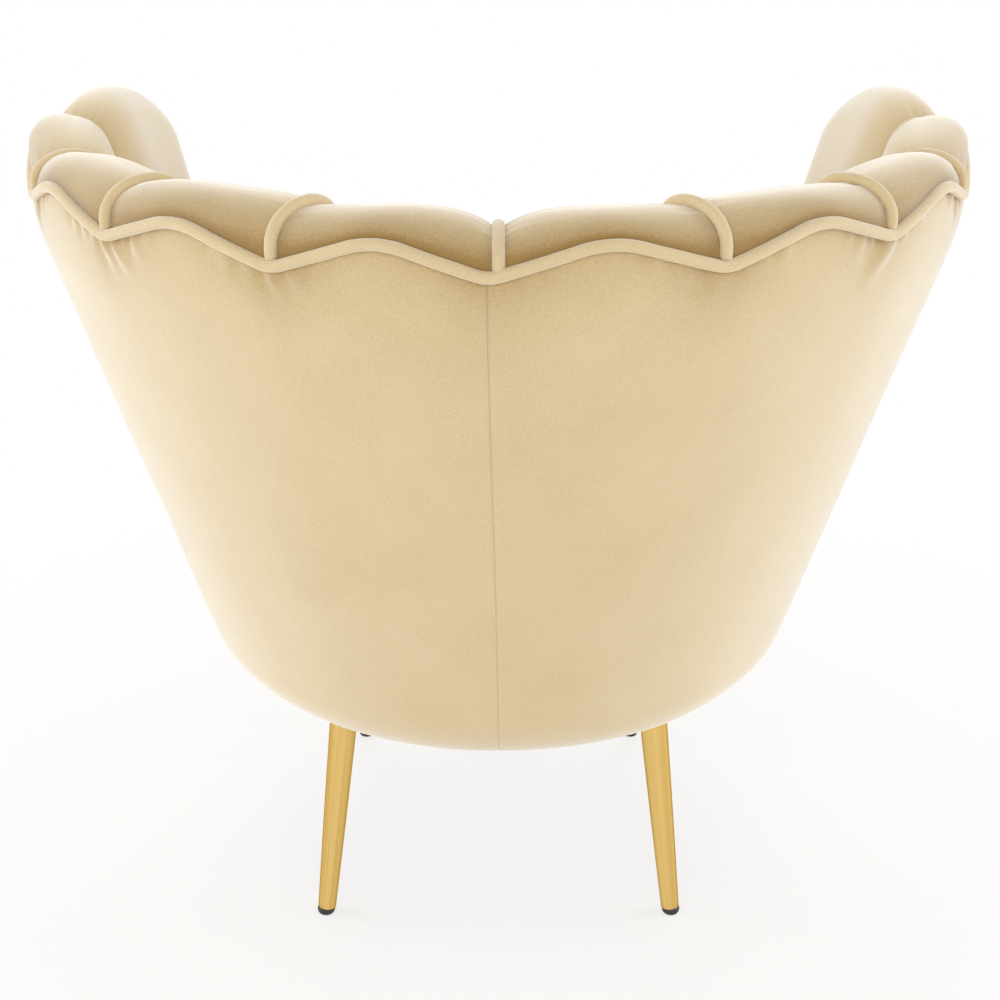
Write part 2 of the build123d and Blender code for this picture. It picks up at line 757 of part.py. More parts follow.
# Legs: tapered tubes with a slight swell and a closed head
for name, head, foot in legs:
    leg_length, across = leg_frame(head, foot)
    taper = ((leg_lift, leg_end_radius), (leg_length / 2, leg_middle_radius), (leg_length, leg_top_radius))
    with BuildPart() as leg:
        for reach, radius in taper:
            with BuildSketch(across.offset(reach)):
                Circle(radius)
        loft()
        with BuildSketch(across.offset(leg_lift)):
            Circle(leg_bore)
        extrude(amount=leg_length - leg_cap - leg_lift, mode=Mode.SUBTRACT)
        with BuildSketch(Plane(head)):
            Circle(stud_radius + gap / 2)
        extrude(amount=-2 * leg_cap, mode=Mode.SUBTRACT)
    leg.part.label = f"leg_{name}"
    export_step(leg.part, f"parts/leg_{name}.step")

# Glides: flat-soled feet that plug the lower ends of the legs
with BuildPart() as glides:
    for name, head, foot in legs:
        foot_axis = Axis(foot, (0, 0, 1))
        with BuildSketch(Plane(foot_axis.position, x_dir=(1, 0, 0), z_dir=(0, -1, 0))):
            with BuildLine():
                Polyline((glide_sole, 0), (0, 0), (0, glide_height + glide_shank),
                         (glide_plug, glide_height + glide_shank), (glide_plug, glide_height),
                         (leg_end_radius, glide_height))
                TangentArc((leg_end_radius, glide_height), (glide_sole, 0), tangent=(0, -1))
            make_face()
        revolve(axis=foot_axis)
glides.part.label = "glides"
export_step(glides.part, "parts/glides.step")
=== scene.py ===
from math import asin, atan2, cos, pi, radians, sin, sqrt, tan

import bmesh
import bpy
import numpy as np
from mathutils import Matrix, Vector, noise


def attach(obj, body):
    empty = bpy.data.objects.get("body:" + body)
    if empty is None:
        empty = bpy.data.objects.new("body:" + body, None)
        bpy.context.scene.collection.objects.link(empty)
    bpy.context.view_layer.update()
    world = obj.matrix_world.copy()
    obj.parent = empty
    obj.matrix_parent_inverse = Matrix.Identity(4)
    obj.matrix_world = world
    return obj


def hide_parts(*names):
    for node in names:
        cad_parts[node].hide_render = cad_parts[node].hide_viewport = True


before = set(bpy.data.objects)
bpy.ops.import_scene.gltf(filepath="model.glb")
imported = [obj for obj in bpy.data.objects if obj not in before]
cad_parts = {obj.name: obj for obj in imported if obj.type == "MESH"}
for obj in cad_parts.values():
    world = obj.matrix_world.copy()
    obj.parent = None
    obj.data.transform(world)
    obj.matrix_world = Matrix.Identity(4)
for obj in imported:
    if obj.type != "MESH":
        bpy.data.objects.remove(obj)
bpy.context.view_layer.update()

# Art deco tub armchair: velvet petals and covers, piping in the seams, gold legs.
# Metres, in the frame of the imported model. Angles run round the bowl's axis from the
# back of the chair (+Y) towards +X.

# The bowl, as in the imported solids
BASE_BOTTOM = 0.203
BASE_FLAT = 0.211
BASE_ROUND = 0.067
RIM_RADIUS = 0.406
SHOULDER_ROUND = 0.223
SHOULDER_Z = 0.6873
TUCK_RADIUS = 0.160
FRONT_TOP = 0.348

# Petals: angle each, depth of their faces and backs below the wall, foot and top of the back
PETALS_A_SIDE = 5
PETAL_ANGLE = 23.0
PETAL_DEPTH = 0.081
SEAM_DEPTH = 0.062
PETAL_BACK = 0.0352
FRONT_BACK = 0.0042
ARM_RIB_EDGE = 110.0
PETAL_FOOT = 0.3408
RAIL_SEAT = 0.6686

# Crests: height of the petals, of the seams from the middle outwards, and trims by side
CREST_HIGH = 0.714
SEAM_CRESTS = (0.696, 0.709, 0.708, 0.702, 0.700)
CREST_TRIM = {1: (-0.002, 0.001, 0.0, 0.006), -1: (-0.003, -0.003, 0.0, 0.005)}
ROLL_WIDTH = 0.041
SEAM_ROLL = 0.035

# Rim wave: its high and low points and their fillets, and the shift of the middle low point
RIM_HIGH = 0.693
RIM_LOW = 0.672
RIM_HIGH_FILLET = 0.070
RIM_LOW_FILLET = 0.030
LOW_SHIFT = 1.0
RIM_DEPTH = 0.007

# Lips: how far they stay in from the wall and reach down to the rim welt
LIP_INSET = 0.0018
LIP_SINK = 0.0025
LIP_PUFF = 0.0045
ARM_LIP_INSET = 0.006
ARM_LIP_SINK = 0.007
ARM_ROLL_CUT = 0.005

# Side petals, which bulge over the rim welt: where they start and end, in degrees
SIDE_START = 58
SIDE_START_RUN = 14
SIDE_END = 96
SIDE_END_RUN = 20
SIDE_LOW_SHARE = 0.36
SIDE_INSET = 0.0020
SIDE_SINK = 0.003
SIDE_WELT_IN = 0.0080
SIDE_TUCK = 0.0055

# Lean of the channels, in degrees
CHANNEL_LEAN = 5.0
LEAN_RUN = 0.080
LEAN_FADE = 6
LEAN_FADE_RUN = 14

# Arm noses
ARM_HALF_ANGLE = 9.5
ARM_RISE = 0.010
NOSE_ROUND = 0.120
NOSE_EDGE = 0.0035
NOSE_ROLL = 0.070

# Piping and cloth
WELT_RADIUS = 0.0046
WELT_GAP = 0.0025
WELT_LIFT = 0.0052
RIM_PROUD = 0.0016
CHANNEL_PROUD = 0.0031
COVER_THICKNESS = 0.0035
TUCK_DIP = 0.0022
DIP_LIMIT = 0.0034
APRON_FOLD = 0.040
# Painted shade on the covers under the rim welt, stronger under its low points
RIM_PAINTED_SHADE = 0.35
LOW_PAINTED_SHADE = 0.35
SEAM_DIP = 0.0007
SEAM_SHIFT = 1.1

# Seat
SEAT_REAR = 0.232
SEAT_FRONT = 0.309
SEAT_CROWN = 0.438
SEAT_BOTTOM = 0.3495
SEAT_EDGE = 0.022
SEAT_FALL = 0.016
SEAT_SLOPE = 0.17
SEAT_LOW_EDGE = 0.009
SEAT_BULGE = 0.005
SEAT_MIDDLE = 0.395
SEAT_CLEARANCE = 0.006

# Legs
LEG_TOP_RADIUS = 0.0124
LEG_MIDDLE_RADIUS = 0.0106
LEG_END_RADIUS = 0.00825
LEG_LIFT = 0.0065
GLIDE_SOLE = 0.0052
GLIDE_HEIGHT = 0.0049
LEGS = {"rear": (40.5, 2.0, -0.0032, 0.0243), "front": (137.6, 0.0, 0.0213, 0.0269)}

# Sizes that follow
BASE_ROUND_Z = BASE_BOTTOM + BASE_ROUND
SHOULDER_CENTRE = RIM_RADIUS - SHOULDER_ROUND
WALL_SPREAD = SHOULDER_CENTRE - BASE_FLAT
WALL_RISE = SHOULDER_Z - BASE_ROUND_Z
WALL_REACH = sqrt(WALL_SPREAD ** 2 + WALL_RISE ** 2)
FLARE = asin((SHOULDER_ROUND - BASE_ROUND) / WALL_REACH) + atan2(WALL_SPREAD, WALL_RISE)
CONE_OFFSET = BASE_FLAT + BASE_ROUND / cos(FLARE)
TURN_Z = BASE_ROUND_Z - BASE_ROUND * sin(FLARE)
ARM_ANGLE = PETAL_ANGLE * (PETALS_A_SIDE - 1)
NOSE_START = ARM_ANGLE + ARM_HALF_ANGLE
NOSE_DEGREES = 180 / (pi * RIM_RADIUS)
NOSE_END = NOSE_START + NOSE_ROUND * NOSE_DEGREES
PETAL_STOP = NOSE_END - 0.1
COVER_STOP = NOSE_END - 0.3
RIM_STOP = NOSE_END - 0.02
WELT_END = NOSE_END + 0.15
APRON_START = WELT_END + 1.0
SEAT_WELT_START = NOSE_END - 2.0
WAVE_HALF = RIM_RADIUS * sin(radians(PETAL_ANGLE / 2))
AXIS_TRIM = 0.004
AXIS_Y = (CONE_OFFSET + (FRONT_TOP - BASE_ROUND_Z) * tan(FLARE) - RIM_RADIUS - AXIS_TRIM) / 2
SIDES = (("left", 1), ("right", -1))
SEAMS = [PETAL_ANGLE * n for n in range(1 - PETALS_A_SIDE, PETALS_A_SIDE)]

# Slope of the rim wave between its two fillets, found by repeated tries
WAVE_TRIES = 40
wave_slope = 0.0
for _ in range(WAVE_TRIES):
    spare = (RIM_HIGH_FILLET + RIM_LOW_FILLET) * (1 / cos(wave_slope) - 1)
    wave_slope = atan2(RIM_HIGH - RIM_LOW + spare, WAVE_HALF)


def place(angle, radius, z):
    # Point at an angle and a radius about the bowl's axis
    a = radians(angle)
    return Vector((radius * sin(a), AXIS_Y + radius * cos(a), z))


def cone_radius(z, depth=0.0):
    # Radius of the flaring wall, or of a surface at a depth below it
    return CONE_OFFSET - depth / cos(FLARE) + (z - BASE_ROUND_Z) * tan(FLARE)


def wall_radius(z, depth=0.0):
    # The wall flares and then stands upright above its shoulder
    if z <= SHOULDER_Z - (SHOULDER_ROUND - depth) * sin(FLARE):
        return cone_radius(z, depth)
    if z >= SHOULDER_Z:
        return RIM_RADIUS - depth
    return SHOULDER_CENTRE + sqrt((SHOULDER_ROUND - depth) ** 2 - (SHOULDER_Z - z) ** 2)


def rim_height(angle):
    # Height of the rim wave: low in the seams, high between them, level before the nose
    if abs(angle) < PETAL_ANGLE:
        angle -= LOW_SHIFT * (1 - abs(angle) / PETAL_ANGLE)
    angle = abs(angle)
    if angle >= NOSE_START:
        return RIM_HIGH
    share = (angle / PETAL_ANGLE) % 1.0
    if angle > ARM_ANGLE:
        share = (angle - ARM_ANGLE) / (2 * ARM_HALF_ANGLE)
    run = abs(2 * share - 1) * WAVE_HALF
    if run <= RIM_HIGH_FILLET * sin(wave_slope):
        return RIM_HIGH - RIM_HIGH_FILLET + sqrt(RIM_HIGH_FILLET ** 2 - run ** 2)
    if WAVE_HALF - run <= RIM_LOW_FILLET * sin(wave_slope):
        return RIM_LOW + RIM_LOW_FILLET - sqrt(RIM_LOW_FILLET ** 2 - (WAVE_HALF - run) ** 2)
    return RIM_HIGH + RIM_HIGH_FILLET * (1 / cos(wave_slope) - 1) - run * tan(wave_slope)


def side_share(angle):
    # 1 along the side petals, which bulge over the rim welt, 0 elsewhere
    start = smooth_step((abs(angle) - SIDE_START) / SIDE_START_RUN)
    return start * (1 - smooth_step((abs(angle) - SIDE_END) / SIDE_END_RUN))


def side_pull(angle):
    # The rim welt draws in at the side petals, more at its high points than at its low ones
    height = (rim_height(angle) - RIM_LOW) / (RIM_HIGH - RIM_LOW)
    return side_share(angle) * (SIDE_LOW_SHARE + (1 - SIDE_LOW_SHARE) * height)


def channel_lean(angle, radius):
    # Channels lean towards the middle of the back on their way from the rim welt inwards
    near = min(1.0, abs(angle) / PETAL_ANGLE)
    far = 1 - smooth_step((abs(angle) - ARM_ANGLE + LEAN_FADE) / LEAN_FADE_RUN)
    return CHANNEL_LEAN * near * far * smooth_step((RIM_RADIUS - radius) / LEAN_RUN)


def nose_reach(angle):
    # Distance along the rim past the start of the arm nose
    return (abs(angle) - NOSE_START) / NOSE_DEGREES


def nose_drop(reach, radius):
    # How far a quarter round of a radius has fallen at that distance
    reach = min(max(reach, 0.0), radius)
    return radius - sqrt(radius ** 2 - reach ** 2)


def nose_depth(angle, depth):
    # Depth of a petal's face below the wall: it rolls outwards to the welt at the arm's front
    bend = min(max(nose_reach(angle) - NOSE_ROUND + NOSE_ROLL, 0.0) / NOSE_ROLL, 1.0)
    return NOSE_EDGE + (depth - NOSE_EDGE) * sqrt(1 - bend ** 2)


def smooth_step(x):
    x = min(max(x, 0.0), 1.0)
    return x * x * (3 - 2 * x)


def wander(point, scale, seed):
    # Smooth noise between -1 and 1 with features of a given size
    return noise.noise(Vector(point) / scale + Vector((seed, 1.7 * seed, 0.3)))


def outline_normal(points, j, end):
    # Normal of an outline at one of its points
    tangent = (points[min(j + 1, end)] - points[max(j - 1, 0)]).normalized()
    return Vector((-tangent.y, tangent.x))


def make_object(name, verts, faces, painted_light_and_streaks=None):
    # Smooth mesh object with an optional value for each vertex, which the materials read: painted
    # shade and light on the cloth, brushed streaks on the legs
    mesh = bpy.data.meshes.new(name)
    mesh.from_pydata([tuple(v) for v in verts], [], faces)
    bm = bmesh.new()
    bm.from_mesh(mesh)
    bmesh.ops.recalc_face_normals(bm, faces=bm.faces)
    bm.to_mesh(mesh)
    bm.free()
    if painted_light_and_streaks:
        mesh.attributes.new("painted_light_and_streaks", "FLOAT", "POINT").data.foreach_set("value", painted_light_and_streaks)
    mesh.shade_smooth()
    obj = bpy.data.objects.new(name, mesh)
    bpy.context.collection.objects.link(obj)
    return obj


def skin_loops(loops):
    # Vertices and faces of a closed surface through a row of loops with equal point counts
    count = len(loops[0])
    verts = [p for loop in loops for p in loop]
    faces = []
    for i in range(len(loops) - 1):
        for j in range(count):
            k = (j + 1) % count
            here, there = i * count, (i + 1) * count
            faces.append((here + j, here + k, there + k, there + j))
    faces.append(tuple(reversed(range(count))))
    faces.append(tuple(range((len(loops) - 1) * count, len(loops) * count)))
    return verts, faces


def finish_piece(obj, material, slot, *nodes):
    # Gives a piece its material, hangs it under the root body and hides the imported parts it
    # stands for
    obj.data.materials.clear()
    obj.data.materials.append(material)
    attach(obj, "root")
    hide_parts(*nodes)


# Materials


VELVET_ROUGHNESS = 0.85
VELVET_SPECULAR = 0.15
SHEEN_ROUGHNESS = 0.5
SHEEN_TINT = (1.0, 0.985, 0.95, 1)
# Weight of the vertex value: painted shade and light on the cloth, brushed streaks on the legs
PAINTED_LIGHT_AND_STREAK_WEIGHT = 0.5
BLOTCH_WEIGHT = 0.16
BLOTCH_SCALE = 14.0
GRAIN_WEIGHT = 0.26
GRAIN_SCALE = 620.0
GRAIN_STRENGTH = 0.25
GRAIN_HEIGHT = 0.0006
MIDDLE_TONE = 0.5
GOLD_EDGE_TINT = (0.55, 0.40, 0.20, 1)
GOLD_SMOOTH = (0.23, 0.23, 0.23)
GOLD_ROUGH = (0.27, 0.27, 0.27)
GOLD_SCALE = 25.0
DARK_GOLD = (0.66, 0.42, 0.115)
PALE_GOLD = (0.88, 0.63, 0.24)
# Velvet ramp: a painted shade tone, cream, a painted highlight tone
PAINTED_SHADE_TONE = (0.36, 0.225, 0.072)
CREAM = (0.70, 0.552, 0.320)
PAINTED_LIGHT_TONE = (0.84, 0.76, 0.62)


def new_material(name):
    material = bpy.data.materials.new(name)
    material.use_nodes = True
    nodes = material.node_tree.nodes
    return material, nodes, material.node_tree.links, nodes["Principled BSDF"]


def noise_node(nodes, links, scale, detail, roughness=0.5):
    coords = nodes.new("ShaderNodeTexCoord")
    texture = nodes.new("ShaderNodeTexNoise")
    texture.inputs["Scale"].default_value = scale
    texture.inputs["Detail"].default_value = detail
    texture.inputs["Roughness"].default_value = roughness
    links.new(coords.outputs["Object"], texture.inputs["Vector"])
    return texture


def scaled_sum(nodes, links, terms, start):
    # Adds up the Fac of several nodes, each times its own weight
    total = None
    for source, weight in terms:
        add = nodes.new("ShaderNodeMath")
        add.operation = "MULTIPLY_ADD"
        add.inputs[1].default_value = weight
        add.inputs[2].default_value = start
        links.new(source.outputs["Fac"], add.inputs[0])
        if total:
            links.new(total, add.inputs[2])
        total = add.outputs[0]
    return total


def ramp_node(nodes, links, texture, low, high, dark, light):
    ramp = nodes.new("ShaderNodeValToRGB")
    ramp.color_ramp.elements[0].position = low
    ramp.color_ramp.elements[1].position = high
    ramp.color_ramp.elements[0].color = (*dark, 1)
    ramp.color_ramp.elements[1].color = (*light, 1)
    links.new(texture.outputs["Fac"], ramp.inputs["Fac"])
    return ramp


def painted_light_and_streaks_node(nodes):
    # Reads the vertex value: painted shade and light on the cloth, brushed streaks on the legs
    painted_light_and_streaks = nodes.new("ShaderNodeAttribute")
    painted_light_and_streaks.attribute_name = "painted_light_and_streaks"
    return painted_light_and_streaks


def velvet(name, sheen):
    # Short pile: pale sheen at grazing angles, painted shade and painted light from a value on each
    # vertex, random blotches, fine grain
    material, nodes, links, shader = new_material(name)
    shader.inputs["Roughness"].default_value = VELVET_ROUGHNESS
    shader.inputs["Specular IOR Level"].default_value = VELVET_SPECULAR
    shader.inputs["Sheen Weight"].default_value = sheen
    shader.inputs["Sheen Roughness"].default_value = SHEEN_ROUGHNESS
    shader.inputs["Sheen Tint"].default_value = SHEEN_TINT
    painted_light_and_streaks = painted_light_and_streaks_node(nodes)
    blotches = noise_node(nodes, links, BLOTCH_SCALE, 3.0, 0.55)
    grain = noise_node(nodes, links, GRAIN_SCALE, 2.0)
    terms = ((painted_light_and_streaks, PAINTED_LIGHT_AND_STREAK_WEIGHT), (blotches, BLOTCH_WEIGHT), (grain, GRAIN_WEIGHT))
    start = MIDDLE_TONE - BLOTCH_WEIGHT / 2 - GRAIN_WEIGHT / 2
    ramp = nodes.new("ShaderNodeValToRGB")
    ramp.color_ramp.elements[0].color = (*PAINTED_SHADE_TONE, 1)
    ramp.color_ramp.elements[1].color = (*PAINTED_LIGHT_TONE, 1)
    ramp.color_ramp.elements.new(MIDDLE_TONE).color = (*CREAM, 1)
    links.new(scaled_sum(nodes, links, terms, start), ramp.inputs["Fac"])
    links.new(ramp.outputs["Color"], shader.inputs["Base Color"])
    bump = nodes.new("ShaderNodeBump")
    bump.inputs["Strength"].default_value = GRAIN_STRENGTH
    bump.inputs["Distance"].default_value = GRAIN_HEIGHT
    links.new(grain.outputs["Fac"], bump.inputs["Height"])
    links.new(bump.outputs["Normal"], shader.inputs["Normal"])
    return material


def gold(name):
    # Bright brass plating, brushed in fine streaks along the leg
    material, nodes, links, shader = new_material(name)
    shader.inputs["Metallic"].default_value = 1.0
    shader.inputs["Specular Tint"].default_value = GOLD_EDGE_TINT
    tones = nodes.new("ShaderNodeValToRGB")
    tones.color_ramp.elements[0].color = (*DARK_GOLD, 1)
    tones.color_ramp.elements[1].color = (*PALE_GOLD, 1)
    streaks = scaled_sum(nodes, links, ((painted_light_and_streaks_node(nodes), PAINTED_LIGHT_AND_STREAK_WEIGHT),), MIDDLE_TONE)
    links.new(streaks, tones.inputs["Fac"])
    links.new(tones.outputs["Color"], shader.inputs["Base Color"])
    texture = noise_node(nodes, links, GOLD_SCALE, 1.0)
    ramp = ramp_node(nodes, links, texture, 0.3, 0.7, GOLD_SMOOTH, GOLD_ROUGH)
    links.new(ramp.outputs["Color"], shader.inputs["Roughness"])
    return material


def plain(name, dark, light, roughness, scale):
    # Matt stuff of two close tones, for wood, board, webbing, foam and plastic
    material, nodes, links, shader = new_material(name)
    shader.inputs["Roughness"].default_value = roughness
    texture = noise_node(nodes, links, scale, 4.0)
    ramp = ramp_node(nodes, links, texture, 0.35, 0.65, dark, light)
    links.new(ramp.outputs["Color"], shader.inputs["Base Color"])
    return material


velvet_cloth = velvet("velvet_cream", 1.0)
welt_cloth = velvet("velvet_piping", 0.8)
gold_metal = gold("gold_legs")
black_plastic = plain("black_glide", (0.012, 0.012, 0.012), (0.022, 0.021, 0.020), 0.45, 300.0)
plywood = plain("birch_plywood", (0.50, 0.36, 0.21), (0.62, 0.47, 0.30), 0.7, 30.0)
fibreboard = plain("fibreboard", (0.36, 0.25, 0.15), (0.42, 0.30, 0.19), 0.8, 120.0)
webbing = plain("webbing", (0.05, 0.05, 0.05), (0.09, 0.09, 0.09), 0.8, 400.0)
padding = plain("padding", (0.70, 0.68, 0.62), (0.80, 0.78, 0.72), 0.95, 200.0)
dust_cloth = plain("dust_cloth", (0.018, 0.018, 0.018), (0.030, 0.030, 0.030), 0.9, 500.0)
zinc = plain("zinc_steel", (0.55, 0.55, 0.56), (0.62, 0.62, 0.63), 0.4, 200.0)
zinc.node_tree.nodes["Principled BSDF"].inputs["Metallic"].default_value = 1.0

for node_material, names in (
    (plywood, ("base_board", "back_ribs", "arm_ribs", "front_ribs", "seat_ring", "top_rail")),
    (fibreboard, ("outer_panels", "front_panels", "lining_boards")),
    (webbing, ("webbing_long", "webbing_cross")),
    (padding, ("deck_pad", "base_padding")),
    (dust_cloth, ("dust_cover",)),
    (zinc, ("leg_studs", "leg_inserts")),
):
    for node_name in names:
        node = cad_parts[node_name]
        node.data.materials.clear()
        node.data.materials.append(node_material)


# Petals: stuffed channels, one closed form each


def arc_points(start, end, direction, count):
    # Points of the arc that leaves start along a direction and ends at end
    chord = Vector(end) - Vector(start)
    along = Vector(direction).normalized()
    across = Vector((-along.y, along.x))
    side = chord.dot(across)
    if abs(side) < 1e-9:
        return [Vector(start).lerp(Vector(end), i / count) for i in range(1, count + 1)]
    radius = chord.length_squared / (2 * side)
    centre = Vector(start) + across * radius
    turn = 2 * atan2(side, chord.dot(along))
    arm = Vector(start) - centre
    points = []
    for i in range(1, count + 1):
        a = turn * i / count
        turned = (arm.x * cos(a) - arm.y * sin(a), arm.x * sin(a) + arm.y * cos(a))
        points.append(centre + Vector(turned))
    return points


# Points along a petal's section, and sections across a petal
FACE_POINTS = 64
ROLL_POINTS = 26
LIP_POINTS = 30
BACK_POINTS = 20
SEEN_POINTS = FACE_POINTS + ROLL_POINTS + LIP_POINTS
STATIONS = 60

# How a petal's section changes from its seams to its middle and round the arm nose
CREST_POWER = 1.4
PUFF_POWER = 0.7
NOSE_SPARE = 0.0005
NOSE_LIP_START = 2
NOSE_LIP_RUN = 6
FRONT_BACK_RUN = 1.2
LEAST_STUFFING = 0.0025
BACK_TOP_DROP = 0.02
LIP_UNDERSIDE = 0.004

# Gathers beside the seams and soft unevenness of the cloth
PETAL_SEED = 3.1
RIGHT_SEED = 41.0
SOFT_SEED = 7.0
GATHER_RUN = 0.014
GATHER_STRETCH = 0.2
GATHER_STEP = 0.005
GATHER_SIZE = 0.010
GATHER_HEIGHT = 0.0016
SOFT_SIZE = 0.055
SOFT_HEIGHT = 0.0012
FADE_POINTS = 6
FADE_STATIONS = 3

# Painted shade and light on the petals: painted shade darkens the lip, the hollow above the rim
# welt and the seams, a painted highlight makes the arms pale
LIP_PAINTED_SHADE = 0.75
LIP_PAINTED_SHADE_POWER = 1.2
HOLLOW_PAINTED_SHADE = 0.7
HOLLOW_POWER = 4
SEAM_PAINTED_SHADE = 0.45
SEAM_PAINTED_SHADE_STATIONS = 5
ARM_PAINTED_LIGHT = 0.9
ARM_PAINTED_LIGHT_Z = 0.56
ARM_PAINTED_LIGHT_RISE = 0.10
ARM_PAINTED_LIGHT_SHARE = 0.1
ARM_PAINTED_LIGHT_RUN = 0.3


def lip_points(crest, edge, count, puff):
    # Pillowed lip: level at the crest, upright where it meets the rim welt
    points = []
    for i in range(1, count + 1):
        a = pi / 2 * i / count
        swell = puff * sin(2 * a)
        x = edge.x + (crest.x - edge.x) * (1 - sin(a)) + swell * sin(a)
        points.append(Vector((x, edge.y + (crest.y - edge.y) * cos(a) + swell * cos(a))))
    return points


def face_outline(depth, width, crest_z, edge, puff=0.0):
    # Seen side of a section: inner face, roll up to the crest and lip down to the rim welt
    crest = Vector((wall_radius(crest_z) - width, crest_z))
    roll = (crest.x - cone_radius(crest_z, depth)) * cos(FLARE) / (1 - sin(FLARE))
    turn = Vector((crest.x - roll * cos(FLARE), crest_z - roll * (1 - sin(FLARE))))
    foot = Vector((cone_radius(PETAL_FOOT, depth), PETAL_FOOT))
    points = [foot.lerp(turn, i / FACE_POINTS) for i in range(FACE_POINTS + 1)]
    points += arc_points(turn, crest, (sin(FLARE), cos(FLARE)), ROLL_POINTS)
    return points + lip_points(crest, edge, LIP_POINTS, puff)


def petal_section(angle, full, seam_z, top_z):
    # Closed outline (radius, z) of a petal at an angle: its seen side and its back on the frame
    drop = nose_drop(nose_reach(angle), NOSE_ROUND - NOSE_SPARE)
    depth = nose_depth(angle, SEAM_DEPTH + (PETAL_DEPTH - SEAM_DEPTH) * full)
    slim = min(1.0, depth / SEAM_DEPTH)
    width = (SEAM_ROLL + (ROLL_WIDTH - SEAM_ROLL) * full) * slim
    edge_z = rim_height(angle) + WELT_LIFT - drop
    rise = seam_z + (top_z - seam_z) * full ** CREST_POWER - drop - edge_z
    crest_z = edge_z + rise * sqrt(slim)
    arm = smooth_step((abs(angle) - ARM_ANGLE) / ARM_HALF_ANGLE)
    past = smooth_step((abs(angle) - NOSE_START - NOSE_LIP_START) / NOSE_LIP_RUN)
    behind_side = arm * (1 - past)
    beside = side_share(angle)
    lip_z = edge_z - LIP_SINK - (ARM_LIP_SINK - LIP_SINK) * behind_side - SIDE_SINK * beside
    inset_by = LIP_INSET + (ARM_LIP_INSET - LIP_INSET) * behind_side + SIDE_INSET * beside
    width -= ARM_ROLL_CUT * arm * slim
    edge = Vector((wall_radius(edge_z) - inset_by, lip_z))
    puff = LIP_PUFF * full ** PUFF_POWER * (1 - arm)
    points = face_outline(depth, width, crest_z, edge, puff)
    thin = smooth_step((abs(angle) - ARM_RIB_EDGE) / FRONT_BACK_RUN)
    behind = min(PETAL_BACK + (FRONT_BACK - PETAL_BACK) * thin, depth - LEAST_STUFFING)
    top = edge_z - BACK_TOP_DROP
    back_top = Vector((cone_radius(top, behind), min(RAIL_SEAT, top)))
    back_foot = Vector((cone_radius(PETAL_FOOT, behind), PETAL_FOOT))
    inset = wall_radius(edge_z, min(RIM_DEPTH, behind)) - inset_by
    points += [Vector((inset, lip_z - LIP_UNDERSIDE)), back_top]
    points += [back_top.lerp(back_foot, i / BACK_POINTS) for i in range(1, BACK_POINTS + 1)]
    return points


def petal_wrinkles(along, gap, point, seed):
    # Height of the cloth above the smooth petal: gathers beside a seam and soft unevenness
    pull = np.exp(-gap / GATHER_RUN)
    gathers = wander((along, gap * GATHER_STRETCH, seed), GATHER_SIZE, seed) * GATHER_HEIGHT * pull
    soft = wander(point, SOFT_SIZE, seed + SOFT_SEED) * SOFT_HEIGHT
    return gathers + soft


def petal_station(n, u):
    # Angle, share of the petal's width and fullness at a station from 0 to 1 across petal n
    first = PETAL_ANGLE * n
    if n < PETALS_A_SIDE - 1:
        share = (1 - cos(pi * u)) / 2
        return first + PETAL_ANGLE * share, share, sin(pi * u)
    swing = pi / 2 * min(2 * u, 1.0)
    if u < 0.5:
        angle = first + (NOSE_START - first) * (1 - cos(swing))
    else:
        angle = NOSE_START + (PETAL_STOP - NOSE_START) * sin(pi / 2 * (2 * u - 1))
    return angle, (angle - first) / PETAL_ANGLE, sin(swing)


def petal_painted_light(last, i, j, share, z):
    # Painted light at point j of station i: below 0 painted shade, darker; above 0 painted
    # highlight, paler
    on_lip = min(max((j - FACE_POINTS - ROLL_POINTS) / LIP_POINTS, 0.0), 1.0)
    shade = LIP_PAINTED_SHADE * on_lip ** LIP_PAINTED_SHADE_POWER + HOLLOW_PAINTED_SHADE * on_lip ** HOLLOW_POWER
    shade += SEAM_PAINTED_SHADE * np.exp(-min(i, STATIONS if last else STATIONS - i) / SEAM_PAINTED_SHADE_STATIONS)
    if not last:
        return -shade
    # Painted highlight: the upper part of the arm petal is made paler
    painted_arm_highlight = ARM_PAINTED_LIGHT * smooth_step((z - ARM_PAINTED_LIGHT_Z) / ARM_PAINTED_LIGHT_RISE)
    return painted_arm_highlight * smooth_step((share - ARM_PAINTED_LIGHT_SHARE) / ARM_PAINTED_LIGHT_RUN) - shade


